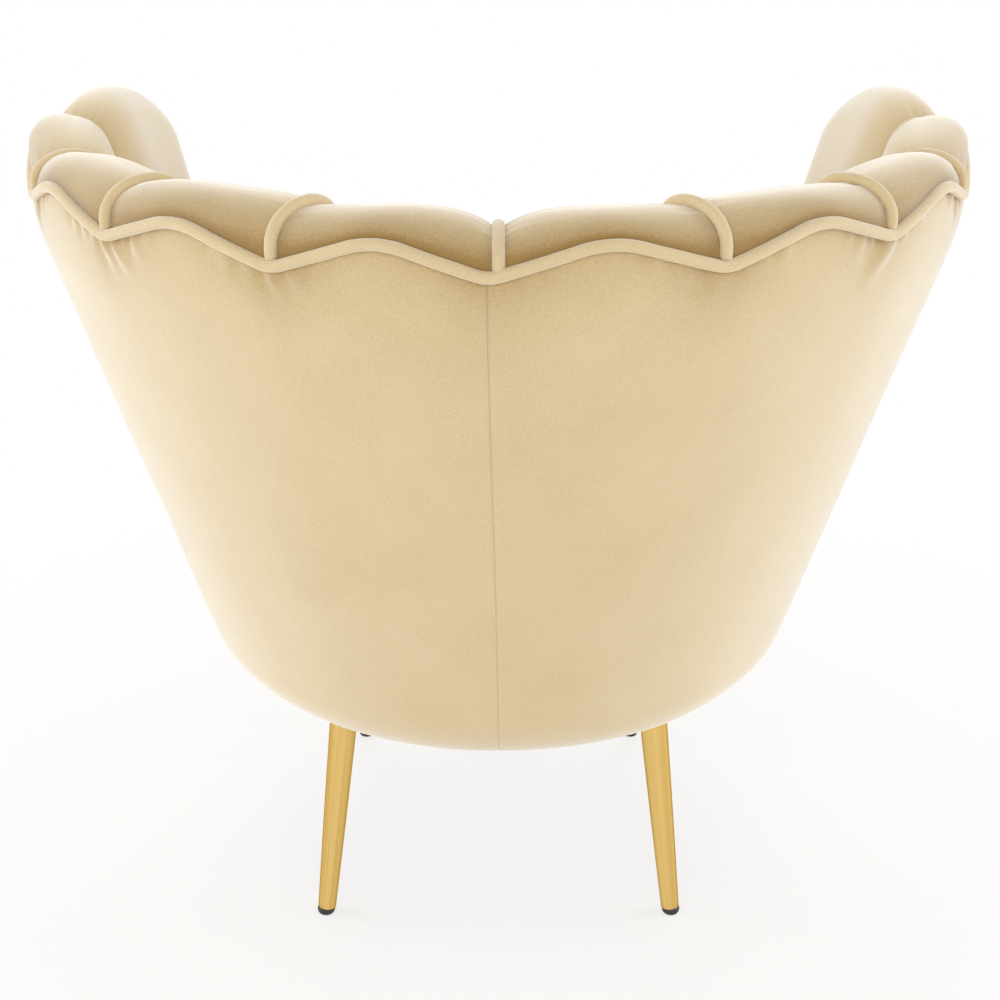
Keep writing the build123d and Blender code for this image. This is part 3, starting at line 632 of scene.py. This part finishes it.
def build_petal(side, sign, n):
    # The last petal of a side is the arm: it has one seam and wraps round the nose
    last = n == PETALS_A_SIDE - 1
    first = PETAL_ANGLE * n
    seed = PETAL_SEED * n + (0.0 if sign > 0 else RIGHT_SEED)
    top_z = CREST_HIGH + (ARM_RISE if last else CREST_TRIM[sign][n])
    loops = []
    painted_light_and_streaks = []
    for i in range(STATIONS + 1):
        u = i / STATIONS
        angle, share, full = petal_station(n, u)
        seam_z = SEAM_CRESTS[n]
        if not last:
            seam_z += (SEAM_CRESTS[n + 1] - SEAM_CRESTS[n]) * share
        section = petal_section(sign * angle, full, seam_z, top_z)
        ring = []
        for j, p in enumerate(section):
            margin = np.degrees(WELT_GAP / p.x)
            if last:
                a = angle + margin * (1 - min(2 * u, 1.0))
            else:
                a = first + margin + (PETAL_ANGLE - 2 * margin) * share
            a -= channel_lean(a, p.x)
            point = place(sign * a, p.x, p.y)
            if j <= SEEN_POINTS:
                normal = outline_normal(section, j, SEEN_POINTS)
                gap = share * PETAL_ANGLE * radians(1) * p.x
                if not last:
                    gap = min(gap, (1 - share) * PETAL_ANGLE * radians(1) * p.x)
                fade = min(1.0, (SEEN_POINTS - j) / FADE_POINTS)
                fade *= min(1.0, i / FADE_STATIONS, (STATIONS - i) / FADE_STATIONS)
                lift = petal_wrinkles(j * GATHER_STEP, gap, point, seed) * fade
                point = place(sign * a, p.x + normal.x * lift, p.y + normal.y * lift)
            ring.append(point)
            # Painted shade and light of this point: darker on the lip and beside the seams, paler
            # high on the arm
            painted_light_and_streaks.append(petal_painted_light(last, i, j, share, p.y))
        loops.append(ring)
    verts, faces = skin_loops(loops)
    obj = make_object(f"petal_cloth_{side}_{n + 1}", verts, faces, painted_light_and_streaks=painted_light_and_streaks)
    finish_piece(obj, velvet_cloth, "velvet", f"petal_{side}_{n + 1}")


for side, sign in SIDES:
    for n in range(PETALS_A_SIDE):
        build_petal(side, sign, n)


# Outer covers and front apron: cloth pulled over the bowl and tucked under it

# Folds under the low points of the rim welt
FOLD_DRAW = 11
FOLDS_A_SEAM = 8
FOLD_SPREAD = 0.048
FOLD_JITTER = 0.003
FOLD_LEAN = (8, 40)
FOLD_HEIGHT = 0.0042
FOLD_HEIGHT_SHARE = (0.35, 1.0)
MIDDLE_FOLD_SHARE = 0.5
FOLD_NEAR = 0.02
NEAR_FOLD_LENGTH = (0.030, 0.055)
FAR_FOLD_LENGTH = (0.016, 0.030)
FOLD_WIDTH = (0.0040, 0.0065)
FOLD_REACH = 0.05
FOLD_WIDEN = 0.05
FOLD_RISE = 0.005
VALLEY_SHARE = 0.7
VALLEY_OFFSET = 1.5

# Rows and columns of the cloth, and how they are spaced
COVER_COLUMNS = 460
COVER_ROWS = 120
COVER_ROW_POWER = 1.35
COVER_ARC_ROWS = 26
COVER_TUCK_ROWS = 6
COVER_START = 0.002
COVER_SEED = 5.0
APRON_COLUMNS = 150
APRON_ROWS = 50
APRON_SEED = 9.0
APRON_FOLD_ROWS = 6
APRON_FOLD_STEP = 0.0002

# Unevenness, tuck under the welt, seam groove and painted shade of the cloth under the rim welt
COVER_SOFT_SIZE = 0.09
COVER_SOFT_HEIGHT = 0.0009
PUCKER_FLOOR = 0.5
PUCKER_ROWS = 4
TUCK_RUN = 0.007
SIDE_TUCK_RUN = 0.011
SEAM_GROOVE = 0.0010
LOW_PAINTED_SHADE_ANGLE = 6.0
RIM_PAINTED_SHADE_RUN = 0.030
COVER_GAP = 0.0005

rng = np.random.default_rng(FOLD_DRAW)


def fold_side(seam):
    # Folds lean towards the middle of the back, and either way under the middle seam
    if seam == 0:
        return rng.choice((-1, 1))
    return -1 if seam > 0 else 1


def draw_fold(seam, start):
    near = abs(start) <= FOLD_NEAR
    height_share = MIDDLE_FOLD_SHARE if seam == 0 else 1.0
    jitter = rng.uniform(-FOLD_JITTER, FOLD_JITTER)
    return {
        "angle": seam + np.degrees((start + jitter) / RIM_RADIUS),
        "lean": radians(rng.uniform(*FOLD_LEAN)) * fold_side(seam),
        "height": FOLD_HEIGHT * rng.uniform(*FOLD_HEIGHT_SHARE) * height_share,
        "length": rng.uniform(*(NEAR_FOLD_LENGTH if near else FAR_FOLD_LENGTH)),
        "width": rng.uniform(*FOLD_WIDTH),
    }


FOLD_STARTS = np.linspace(-FOLD_SPREAD, FOLD_SPREAD, FOLDS_A_SEAM)
PUCKERS = [draw_fold(seam, start) for seam in SEAMS for start in FOLD_STARTS]


def pucker(angle, z):
    # Height of the short folds that start under the low points of the rim welt
    total = 0.0
    for fold in PUCKERS:
        s = radians(angle - fold["angle"]) * RIM_RADIUS
        if abs(s) > FOLD_REACH:
            continue
        d = rim_height(fold["angle"]) - z
        u = d * cos(fold["lean"]) + s * sin(fold["lean"])
        v = s * cos(fold["lean"]) - d * sin(fold["lean"])
        if u <= 0 or u >= fold["length"]:
            continue
        x = v / (fold["width"] * (1 + u / FOLD_WIDEN))
        ridge = np.exp(-(x ** 2)) - VALLEY_SHARE * np.exp(-((x - VALLEY_OFFSET) ** 2))
        ends = smooth_step(u / FOLD_RISE) * (1 - smooth_step(u / fold["length"]))
        total += fold["height"] * ridge * ends
    return total


def base_round_point(share):
    # Point (radius, z) on the rounded edge of the base, from the wall to the underside
    a = -FLARE - (pi / 2 - FLARE) * share
    return Vector((BASE_FLAT + BASE_ROUND * cos(a), BASE_ROUND_Z + BASE_ROUND * sin(a)))


def cover_profile(top_z, rows):
    # Points (radius, z) from an upper edge down the wall, round the base and in under it
    points = []
    for i in range(rows):
        z = top_z + (TURN_Z - top_z) * (i / rows) ** COVER_ROW_POWER
        points.append(Vector((wall_radius(z), z)))
    points += [base_round_point(i / COVER_ARC_ROWS) for i in range(COVER_ARC_ROWS)]
    for i in range(COVER_TUCK_ROWS + 1):
        tuck = (TUCK_RADIUS - BASE_FLAT) * i / COVER_TUCK_ROWS
        points.append(Vector((BASE_FLAT + tuck, BASE_BOTTOM)))
    return points


def fold_points(top, fold_in):
    # Points (radius, z) of an upper edge that is folded inwards
    rows = APRON_FOLD_ROWS
    return [
        Vector((top.x - fold_in * (rows - k) / rows, top.y + APRON_FOLD_STEP * k))
        for k in range(rows)
    ]


def seam_slant(angle, z):
    # The seam at the back leaves the middle towards the rim, and the cloth beside it follows
    rise = smooth_step((z - BASE_BOTTOM) / (RIM_LOW - BASE_BOTTOM))
    return SEAM_SHIFT * rise * max(0.0, 1 - abs(angle) / PETAL_ANGLE)


def cover_lift(column, angle, j, p, top_z, seam_edges, seed):
    # Height of the cloth above the smooth cover: folds, the tuck under the welt and the seam
    lift = wander(place(angle, p.x, p.y), COVER_SOFT_SIZE, seed) * COVER_SOFT_HEIGHT
    if p.y > PUCKER_FLOOR:
        lift += pucker(angle, p.y) * smooth_step(j / PUCKER_ROWS)
    dip = TUCK_DIP + SIDE_TUCK * side_pull(angle)
    run = TUCK_RUN + SIDE_TUCK_RUN * side_share(angle)
    lift -= dip * np.exp(-(((top_z - p.y) / run) ** 2))
    if p.y < RIM_LOW:
        lift = max(lift, -DIP_LIMIT)
    for edge in seam_edges:
        gap = abs(column - edge) * radians(1) * p.x
        lift -= SEAM_DIP * np.exp(-((gap / SEAM_GROOVE) ** 2))
    return lift


def cover_painted_shade(angle, below):
    # Painted shade: darker under the rim, most of all under its low points
    from_low = ((angle / PETAL_ANGLE + 0.5) % 1.0 - 0.5) * PETAL_ANGLE
    near_low = np.exp(-((from_low / LOW_PAINTED_SHADE_ANGLE) ** 2))
    return -(RIM_PAINTED_SHADE + LOW_PAINTED_SHADE * near_low) * np.exp(-max(below, 0.0) / RIM_PAINTED_SHADE_RUN)


def build_cover(name, start, end, columns, edge_z, seam_edges, rows, seed, fold_in=0.0):
    # Cloth between two angles; a sewn edge dips inwards so that two covers meet in a fine groove
    loops = []
    painted_light_and_streaks = []
    for i in range(columns + 1):
        column = start + (end - start) * i / columns
        outer = cover_profile(edge_z(column), rows)
        if fold_in:
            outer = fold_points(outer[0], fold_in) + outer
        top_z = outer[0].y
        inner = []
        ring = []
        for j, p in enumerate(outer):
            angle = column + seam_slant(column, p.y) if seam_edges else column
            normal = outline_normal(outer, j, len(outer) - 1)
            lift = cover_lift(column, angle, j, p, top_z, seam_edges, seed)
            ring.append(place(angle, p.x + normal.x * lift, p.y + normal.y * lift))
            under = min(lift, 0.0) - COVER_THICKNESS
            inner.append(place(angle, p.x + normal.x * under, p.y + normal.y * under))
            # Painted shade under the rim welt on the seen side of the cloth
            painted_light_and_streaks.append(cover_painted_shade(angle, top_z - p.y))
        loops.append(ring + inner[::-1])
        painted_light_and_streaks += [0.0] * len(inner)
    verts, faces = skin_loops(loops)
    return make_object(name, verts, faces, painted_light_and_streaks=painted_light_and_streaks)


def cover_edge(angle):
    # The cover ends under the rim welt, which falls round the arm nose
    return rim_height(angle) - nose_drop(nose_reach(angle), NOSE_ROUND) - COVER_GAP


def apron_edge(angle):
    # The apron ends level
    return FRONT_TOP


for side, sign in SIDES:
    cover = build_cover(
        f"cover_cloth_{side}",
        sign * COVER_START,
        sign * COVER_STOP,
        COVER_COLUMNS,
        cover_edge,
        (0.0,),
        COVER_ROWS,
        COVER_SEED,
    )
    finish_piece(cover, velvet_cloth, "velvet", f"outer_cover_{side}")

apron = build_cover(
    "apron_cloth",
    APRON_START,
    360 - APRON_START,
    APRON_COLUMNS,
    apron_edge,
    (),
    APRON_ROWS,
    APRON_SEED,
    APRON_FOLD,
)
finish_piece(apron, velvet_cloth, "velvet", "front_apron")


# Piping

WELT_UNEVEN = 0.035
WELT_UNEVEN_SIZE = 0.010
WELT_UNEVEN_REACH = 0.004
UPRIGHT = 0.9
RIM_STEPS = 460
RIM_SIDES = 14
RIM_SEED = 2.0
FRONT_STEPS = 90
FRONT_TURN_STEPS = 12
FOOT_STEPS = 30
CHANNEL_SIDES = 12
CHANNEL_SEED = 5.0
CHANNEL_END_SHARE = 0.25
CHANNEL_END_POINTS = 10


def tube(path, radius, sides, seed):
    # Round cord of cloth along a path, slightly uneven
    loops = []
    up = Vector((0, 0, 1))
    previous = None
    for i, p in enumerate(path):
        tangent = (path[min(i + 1, len(path) - 1)] - path[max(i - 1, 0)]).normalized()
        if previous is None:
            aside = up if abs(tangent.z) < UPRIGHT else Vector((1, 0, 0))
            across = tangent.cross(aside).normalized()
        else:
            across = (previous - tangent * previous.dot(tangent)).normalized()
        previous = across
        over = tangent.cross(across)
        ring = []
        for k in range(sides):
            a = 2 * pi * k / sides
            direction = across * cos(a) + over * sin(a)
            uneven = wander(p + direction * WELT_UNEVEN_REACH, WELT_UNEVEN_SIZE, seed)
            ring.append(p + direction * (radius * (1 + WELT_UNEVEN * uneven)))
        loops.append(ring)
    return skin_loops(loops)


def join_tubes(name, tubes):
    # One object from several closed surfaces
    verts, faces = [], []
    for tube_verts, tube_faces in tubes:
        base = len(verts)
        verts += tube_verts
        faces += [tuple(base + v for v in f) for f in tube_faces]
    return make_object(name, verts, faces)


def rim_path(sign):
    # From the centre of the back along the wave, round the nose and down the arm front
    points = []
    for i in range(RIM_STEPS + 1):
        angle = RIM_STOP * i / RIM_STEPS
        z = rim_height(sign * angle) - nose_drop(nose_reach(angle), NOSE_ROUND)
        proud = RIM_PROUD - SIDE_WELT_IN * side_pull(angle)
        points.append(place(sign * angle, wall_radius(z) + proud, z))
    low = RIM_HIGH - NOSE_ROUND
    for i in range(1, FRONT_STEPS):
        z = low + (TURN_Z - low) * i / FRONT_STEPS
        angle = NOSE_END + (WELT_END - NOSE_END) * smooth_step(i / FRONT_TURN_STEPS)
        points.append(place(sign * angle, wall_radius(z), z))
    for i in range(FOOT_STEPS + 1):
        p = base_round_point(i / FOOT_STEPS)
        points.append(place(sign * WELT_END, p.x, p.y))
    return points


rim_line = rim_path(-1)[:0:-1] + rim_path(1)
rim = join_tubes("rim_piping", [tube(rim_line, WELT_RADIUS, RIM_SIDES, RIM_SEED)])
finish_piece(rim, welt_cloth, "welt_velvet", "rim_welt")


def channel_path(angle, seam_z):
    # From the seat deck up the inner face and over the crest to the rim welt's low point
    inset = LIP_INSET + SIDE_WELT_IN * side_pull(angle)
    edge = Vector((wall_radius(RIM_LOW + WELT_LIFT) - inset, RIM_LOW + WELT_LIFT))
    outline = face_outline(SEAM_DEPTH, SEAM_ROLL, seam_z, edge)
    end = len(outline) - 1
    points = []
    for j, p in enumerate(outline):
        normal = outline_normal(outline, j, end)
        proud = CHANNEL_PROUD * min(1.0, CHANNEL_END_SHARE + (end - j) / CHANNEL_END_POINTS)
        lean = channel_lean(angle, p.x) * (1 if angle > 0 else -1)
        points.append(place(angle - lean, p.x + normal.x * proud, p.y + normal.y * proud))
    return points


channels = []
for seam in SEAMS:
    path = channel_path(seam, SEAM_CRESTS[round(abs(seam) / PETAL_ANGLE)])
    channels.append(tube(path, WELT_RADIUS, CHANNEL_SIDES, CHANNEL_SEED + seam))
channel_piping = join_tubes("channel_piping", channels)
finish_piece(channel_piping, welt_cloth, "welt_velvet", "channel_welts")


# Seat cushion: a crowned cushion inside the petals that widens in front of the arms

SEAT_TURNS = 240
SEAT_TOP_POINTS = 30
SEAT_EDGE_POINTS = 12
SEAT_SIDE_POINTS = 13
SEAT_LOW_POINTS = 8
SEAT_WIDEN_ANGLE = 50
SEAT_WIDEN_RUN = 100
SEAT_BULGE_RUN = 0.05
SEAT_SEED = 21.0
SEAT_SOFT_SIZE = 0.06
SEAT_SOFT_HEIGHT = 0.0012
SEAT_STILL = 0.05
SEAT_WELT_STEPS = 180
SEAT_WELT_SIDES = 12
SEAT_WELT_SEED = 8.0
SEAT_WELT_SHARE = 0.3
SEAT_WELT_PROUD = 0.0025


def seat_radius(angle):
    # The cushion follows the petals' faces and widens round the arm noses to the front
    face = cone_radius(SEAT_MIDDLE, nose_depth(angle, PETAL_DEPTH)) - SEAT_CLEARANCE
    return min(max(face, SEAT_REAR), SEAT_FRONT)


def seat_top(angle, radius):
    # Height of the crowned top: level in the middle, falling towards the edge
    wide = smooth_step((abs(angle) - SEAT_WIDEN_ANGLE) / SEAT_WIDEN_RUN)
    dome = SEAT_REAR + (SEAT_FRONT - SEAT_REAR) * wide - SEAT_EDGE
    return SEAT_CROWN - SEAT_FALL * (1 - smooth_step((dome - radius) / SEAT_SLOPE))


def seat_outline(angle):
    # Half section from the middle of the top over the edge, down the bulging side and under
    reach = seat_radius(angle)
    flat = reach - SEAT_EDGE
    edge_z = seat_top(angle, flat)
    low = SEAT_BOTTOM + SEAT_LOW_EDGE
    points = []
    for i in range(SEAT_TOP_POINTS):
        r = flat * i / SEAT_TOP_POINTS
        points.append(Vector((r, seat_top(angle, r))))
    for i in range(SEAT_EDGE_POINTS + 1):
        a = pi / 2 - pi / 2 * i / SEAT_EDGE_POINTS
        z = edge_z - SEAT_EDGE + SEAT_EDGE * sin(a)
        points.append(Vector((flat + SEAT_EDGE * cos(a), z)))
    for i in range(1, SEAT_SIDE_POINTS + 1):
        x = i / SEAT_SIDE_POINTS
        bulge = SEAT_BULGE * sin(pi * x) * smooth_step((reach - SEAT_REAR) / SEAT_BULGE_RUN)
        z = edge_z - SEAT_EDGE + (low - edge_z + SEAT_EDGE) * x
        points.append(Vector((reach + bulge, z)))
    for i in range(1, SEAT_LOW_POINTS + 1):
        a = -pi / 2 * i / SEAT_LOW_POINTS
        r = reach - SEAT_LOW_EDGE + SEAT_LOW_EDGE * cos(a)
        points.append(Vector((r, low + SEAT_LOW_EDGE * sin(a))))
    points.append(Vector((0.0, SEAT_BOTTOM)))
    return points


def build_seat():
    # The outlines share their first and last points, the middles of the top and the underside
    loops = []
    for i in range(SEAT_TURNS):
        angle = -180 + 360 * i / SEAT_TURNS
        ring = []
        for p in seat_outline(angle):
            point = place(angle, p.x, p.y)
            soft = wander(point, SEAT_SOFT_SIZE, SEAT_SEED) * SEAT_SOFT_HEIGHT
            point.z += soft * smooth_step(p.x / SEAT_STILL)
            ring.append(point)
        loops.append(ring)
    verts = [loops[0][0], loops[0][-1]]
    for ring in loops:
        verts += ring[1:-1]
    inner = len(loops[0]) - 2
    faces = []
    for i in range(SEAT_TURNS):
        k = (i + 1) % SEAT_TURNS
        a, b = 2 + i * inner, 2 + k * inner
        faces.append((0, a, b))
        for j in range(inner - 1):
            faces.append((a + j, a + j + 1, b + j + 1, b + j))
        faces.append((a + inner - 1, 1, b + inner - 1))
    return make_object("seat_cloth", verts, faces)


seat = build_seat()
finish_piece(seat, velvet_cloth, "velvet", "seat_cushion")

welt_path = []
for i in range(SEAT_WELT_STEPS + 1):
    angle = SEAT_WELT_START + (360 - 2 * SEAT_WELT_START) * i / SEAT_WELT_STEPS
    beside = min(angle, 360 - angle)
    reach = seat_radius(beside)
    edge_z = seat_top(beside, reach - SEAT_EDGE)
    r = reach - SEAT_WELT_SHARE * SEAT_EDGE + SEAT_WELT_PROUD
    z = edge_z - SEAT_WELT_SHARE * SEAT_EDGE + SEAT_WELT_PROUD
    welt_path.append(place(angle, r, z))
seat_tube = tube(welt_path, WELT_RADIUS, SEAT_WELT_SIDES, SEAT_WELT_SEED)
seat_piping = join_tubes("seat_piping", [seat_tube])
finish_piece(seat_piping, welt_cloth, "welt_velvet", "seat_welt")


# Legs and glides

# Cuts from the radius, and rises, of the steps at a leg's lower end
LEG_STEPS_IN = ((0.0014, 0.0), (0.0004, 0.0001))
LEG_BEVEL = 0.0008
LEG_SPARE = 0.001
LEG_POINTS = 40
LEG_SIDES = 72
STREAK_SIZE = 0.22
STREAK_STRETCH = 0.6
STREAK_SEED = 17.0
GLIDE_POINTS = 12
GLIDE_SIDES = 40
GLIDE_MIDDLE = 0.001
# Radius and height of the glide's neck and plug, hidden in the leg
GLIDE_NECK = (LEG_END_RADIUS - 0.0006, GLIDE_HEIGHT + 0.0016)
GLIDE_PLUG = (0.005, GLIDE_HEIGHT + 0.003)


def lathe(origin, direction, profile, sides):
    # Turns a profile of (radius, distance along the axis) about an axis
    along = Vector(direction).normalized()
    across = along.cross(Vector((0, 1, 0))).normalized()
    over = along.cross(across)
    loops = []
    for radius, reach in profile:
        ring = []
        for k in range(sides):
            a = 2 * pi * k / sides
            spoke = (across * cos(a) + over * sin(a)) * radius
            ring.append(Vector(origin) + along * reach + spoke)
        loops.append(ring)
    return skin_loops(loops)


def leg_profile(length):
    # Tapered tube that swells or hollows a little between its ends
    profile = [(LEG_END_RADIUS - cut, LEG_LIFT + rise) for cut, rise in LEG_STEPS_IN]
    middle = LEG_MIDDLE_RADIUS - (LEG_END_RADIUS + LEG_TOP_RADIUS) / 2
    for i in range(LEG_POINTS + 1):
        x = i / LEG_POINTS
        swell = 4 * x * (1 - x) * middle
        radius = LEG_END_RADIUS + (LEG_TOP_RADIUS - LEG_END_RADIUS) * x + swell
        profile.append((radius, LEG_LIFT + LEG_BEVEL + (length - LEG_LIFT - LEG_SPARE) * x))
    return profile


def leg_streaks(profile, seed):
    # Brushed streaks: they change quickly round the leg and slowly along it
    streaks = []
    for _, reach in profile:
        for k in range(LEG_SIDES):
            a = 2 * pi * k / LEG_SIDES
            streaks.append(wander((cos(a), sin(a), STREAK_STRETCH * reach), STREAK_SIZE, seed))
    return streaks


def glide_profile():
    # Rounded foot that ends in a plug inside the leg
    profile = [(GLIDE_MIDDLE, 0.0), (GLIDE_SOLE, 0.0)]
    for i in range(1, GLIDE_POINTS + 1):
        a = pi / 2 * i / GLIDE_POINTS
        radius = GLIDE_SOLE + (LEG_END_RADIUS - GLIDE_SOLE) * sin(a)
        profile.append((radius, GLIDE_HEIGHT * (1 - cos(a))))
    return profile + [GLIDE_NECK, GLIDE_PLUG]


glide_parts = []
for end, (angle, turn, set_in, splay) in LEGS.items():
    for side, sign in SIDES:
        foot_point = place(sign * (angle + turn), BASE_FLAT - set_in + splay, 0)
        head_point = place(sign * angle, BASE_FLAT - set_in, BASE_BOTTOM)
        axis = head_point - foot_point
        profile = leg_profile(axis.length)
        verts, faces = lathe(foot_point, axis, profile, LEG_SIDES)
        streaks = leg_streaks(profile, STREAK_SEED + sign)
        leg = make_object(f"leg_metal_{end}_{side}", verts, faces, painted_light_and_streaks=streaks)
        finish_piece(leg, gold_metal, "gold_metal", f"leg_{end}_{side}")
        glide_parts.append(lathe(foot_point, (0, 0, 1), glide_profile(), GLIDE_SIDES))
glides = join_tubes("glide_feet", glide_parts)
finish_piece(glides, black_plastic, "black_plastic", "glides")


# Floor, light and camera

FLOOR_SIZE = 30.0
FLOOR_COLOUR = (0.90, 0.89, 0.87, 1)
WHITE = (1, 1, 1, 1)
# The floor's share of plain white near the chair and away from it, by distance
FLOOR_FADE = (("From Min", 0.45), ("From Max", 0.95), ("To Min", 0.72), ("To Max", 1.0))
WORLD_LIGHT = 0.45
# Name, place, aim, size and power of each lamp
LAMPS = (
    ("key", (0.2, 2.9, 1.6), (0, 0, 0.45), (2.4, 1.6), 38),
    ("side_left", (2.6, -0.2, 1.3), (0, 0, 0.45), (1.6, 2.2), 32),
    ("side_right", (-2.6, -0.2, 1.3), (0, 0, 0.45), (1.6, 2.2), 32),
    ("front", (0.0, -2.2, 2.6), (0, 0, 0.55), (2.6, 1.6), 30),
)
# The photograph is taken from behind the chair, 22 degrees above the level
CAMERA_BACK = 1.596
CAMERA_Z = 0.990
CAMERA_TILT = 68
CAMERA_LENS = 64.8
CAMERA_SENSOR = 36.0
CAMERA_SHIFT = 0.0015


def background_rays(nodes, links):
    # 1 for the rays that see the white background: the camera's and those that metal mirrors
    path = nodes.new("ShaderNodeLightPath")
    mirrored = nodes.new("ShaderNodeMath")
    mirrored.operation = "MAXIMUM"
    links.new(path.outputs["Is Glossy Ray"], mirrored.inputs[0])
    links.new(path.outputs["Is Transmission Ray"], mirrored.inputs[1])
    rays = nodes.new("ShaderNodeMath")
    rays.operation = "MAXIMUM"
    links.new(path.outputs["Is Camera Ray"], rays.inputs[0])
    links.new(mirrored.outputs[0], rays.inputs[1])
    return rays.outputs[0]


def white_floor():
    # White to the camera, and lit a little near the chair, where its shadow falls
    mesh = bpy.data.meshes.new("floor")
    corners = [(FLOOR_SIZE * x, FLOOR_SIZE * y, 0) for x, y in ((-1, -1), (1, -1), (1, 1), (-1, 1))]
    mesh.from_pydata(corners, [], [(0, 1, 2, 3)])
    floor = bpy.data.objects.new("floor", mesh)
    bpy.context.collection.objects.link(floor)
    material = bpy.data.materials.new("white_floor")
    material.use_nodes = True
    nodes = material.node_tree.nodes
    links = material.node_tree.links
    nodes.clear()
    output = nodes.new("ShaderNodeOutputMaterial")
    lit = nodes.new("ShaderNodeBsdfDiffuse")
    lit.inputs["Color"].default_value = FLOOR_COLOUR
    glow = nodes.new("ShaderNodeEmission")
    glow.inputs["Strength"].default_value = 1.0
    keep = nodes.new("ShaderNodeMixShader")
    coords = nodes.new("ShaderNodeTexCoord")
    away = nodes.new("ShaderNodeVectorMath")
    away.operation = "LENGTH"
    fade = nodes.new("ShaderNodeMapRange")
    for socket, value in FLOOR_FADE:
        fade.inputs[socket].default_value = value
    links.new(coords.outputs["Object"], away.inputs[0])
    links.new(away.outputs["Value"], fade.inputs["Value"])
    links.new(fade.outputs["Result"], keep.inputs["Fac"])
    seen = nodes.new("ShaderNodeMixShader")
    links.new(lit.outputs[0], keep.inputs[1])
    links.new(glow.outputs[0], keep.inputs[2])
    links.new(background_rays(nodes, links), seen.inputs["Fac"])
    links.new(lit.outputs[0], seen.inputs[1])
    links.new(keep.outputs[0], seen.inputs[2])
    links.new(seen.outputs[0], output.inputs["Surface"])
    floor.data.materials.append(material)


def white_world(strength):
    # Plain white to look at, with a light of its own strength
    world = bpy.data.worlds.new("studio")
    bpy.context.scene.world = world
    world.use_nodes = True
    nodes = world.node_tree.nodes
    links = world.node_tree.links
    nodes.clear()
    output = nodes.new("ShaderNodeOutputWorld")
    light = nodes.new("ShaderNodeBackground")
    light.inputs["Color"].default_value = WHITE
    light.inputs["Strength"].default_value = strength
    seen = nodes.new("ShaderNodeBackground")
    seen.inputs["Color"].default_value = WHITE
    seen.inputs["Strength"].default_value = 1.0
    mix = nodes.new("ShaderNodeMixShader")
    links.new(background_rays(nodes, links), mix.inputs["Fac"])
    links.new(light.outputs[0], mix.inputs[1])
    links.new(seen.outputs[0], mix.inputs[2])
    links.new(mix.outputs[0], output.inputs["Surface"])


def area_lamp(name, location, target, size, power):
    data = bpy.data.lights.new(name, "AREA")
    data.shape = "RECTANGLE"
    data.size, data.size_y = size
    data.energy = power
    lamp = bpy.data.objects.new(name, data)
    bpy.context.collection.objects.link(lamp)
    lamp.location = location
    aim = Vector(target) - Vector(location)
    lamp.rotation_euler = aim.to_track_quat("-Z", "Y").to_euler()


white_floor()
white_world(WORLD_LIGHT)
for lamp_values in LAMPS:
    area_lamp(*lamp_values)

camera_data = bpy.data.cameras.new("photo_camera")
camera_data.lens = CAMERA_LENS
camera_data.sensor_width = CAMERA_SENSOR
camera_data.shift_x = CAMERA_SHIFT
camera = bpy.data.objects.new("photo_camera", camera_data)
camera.location = (0.0, CAMERA_BACK + AXIS_Y, CAMERA_Z)
camera.rotation_euler = (radians(CAMERA_TILT), 0.0, radians(180))
bpy.context.collection.objects.link(camera)
bpy.context.scene.camera = camera
bpy.context.scene.view_settings.view_transform = "Standard"

bpy.context.view_layer.update()
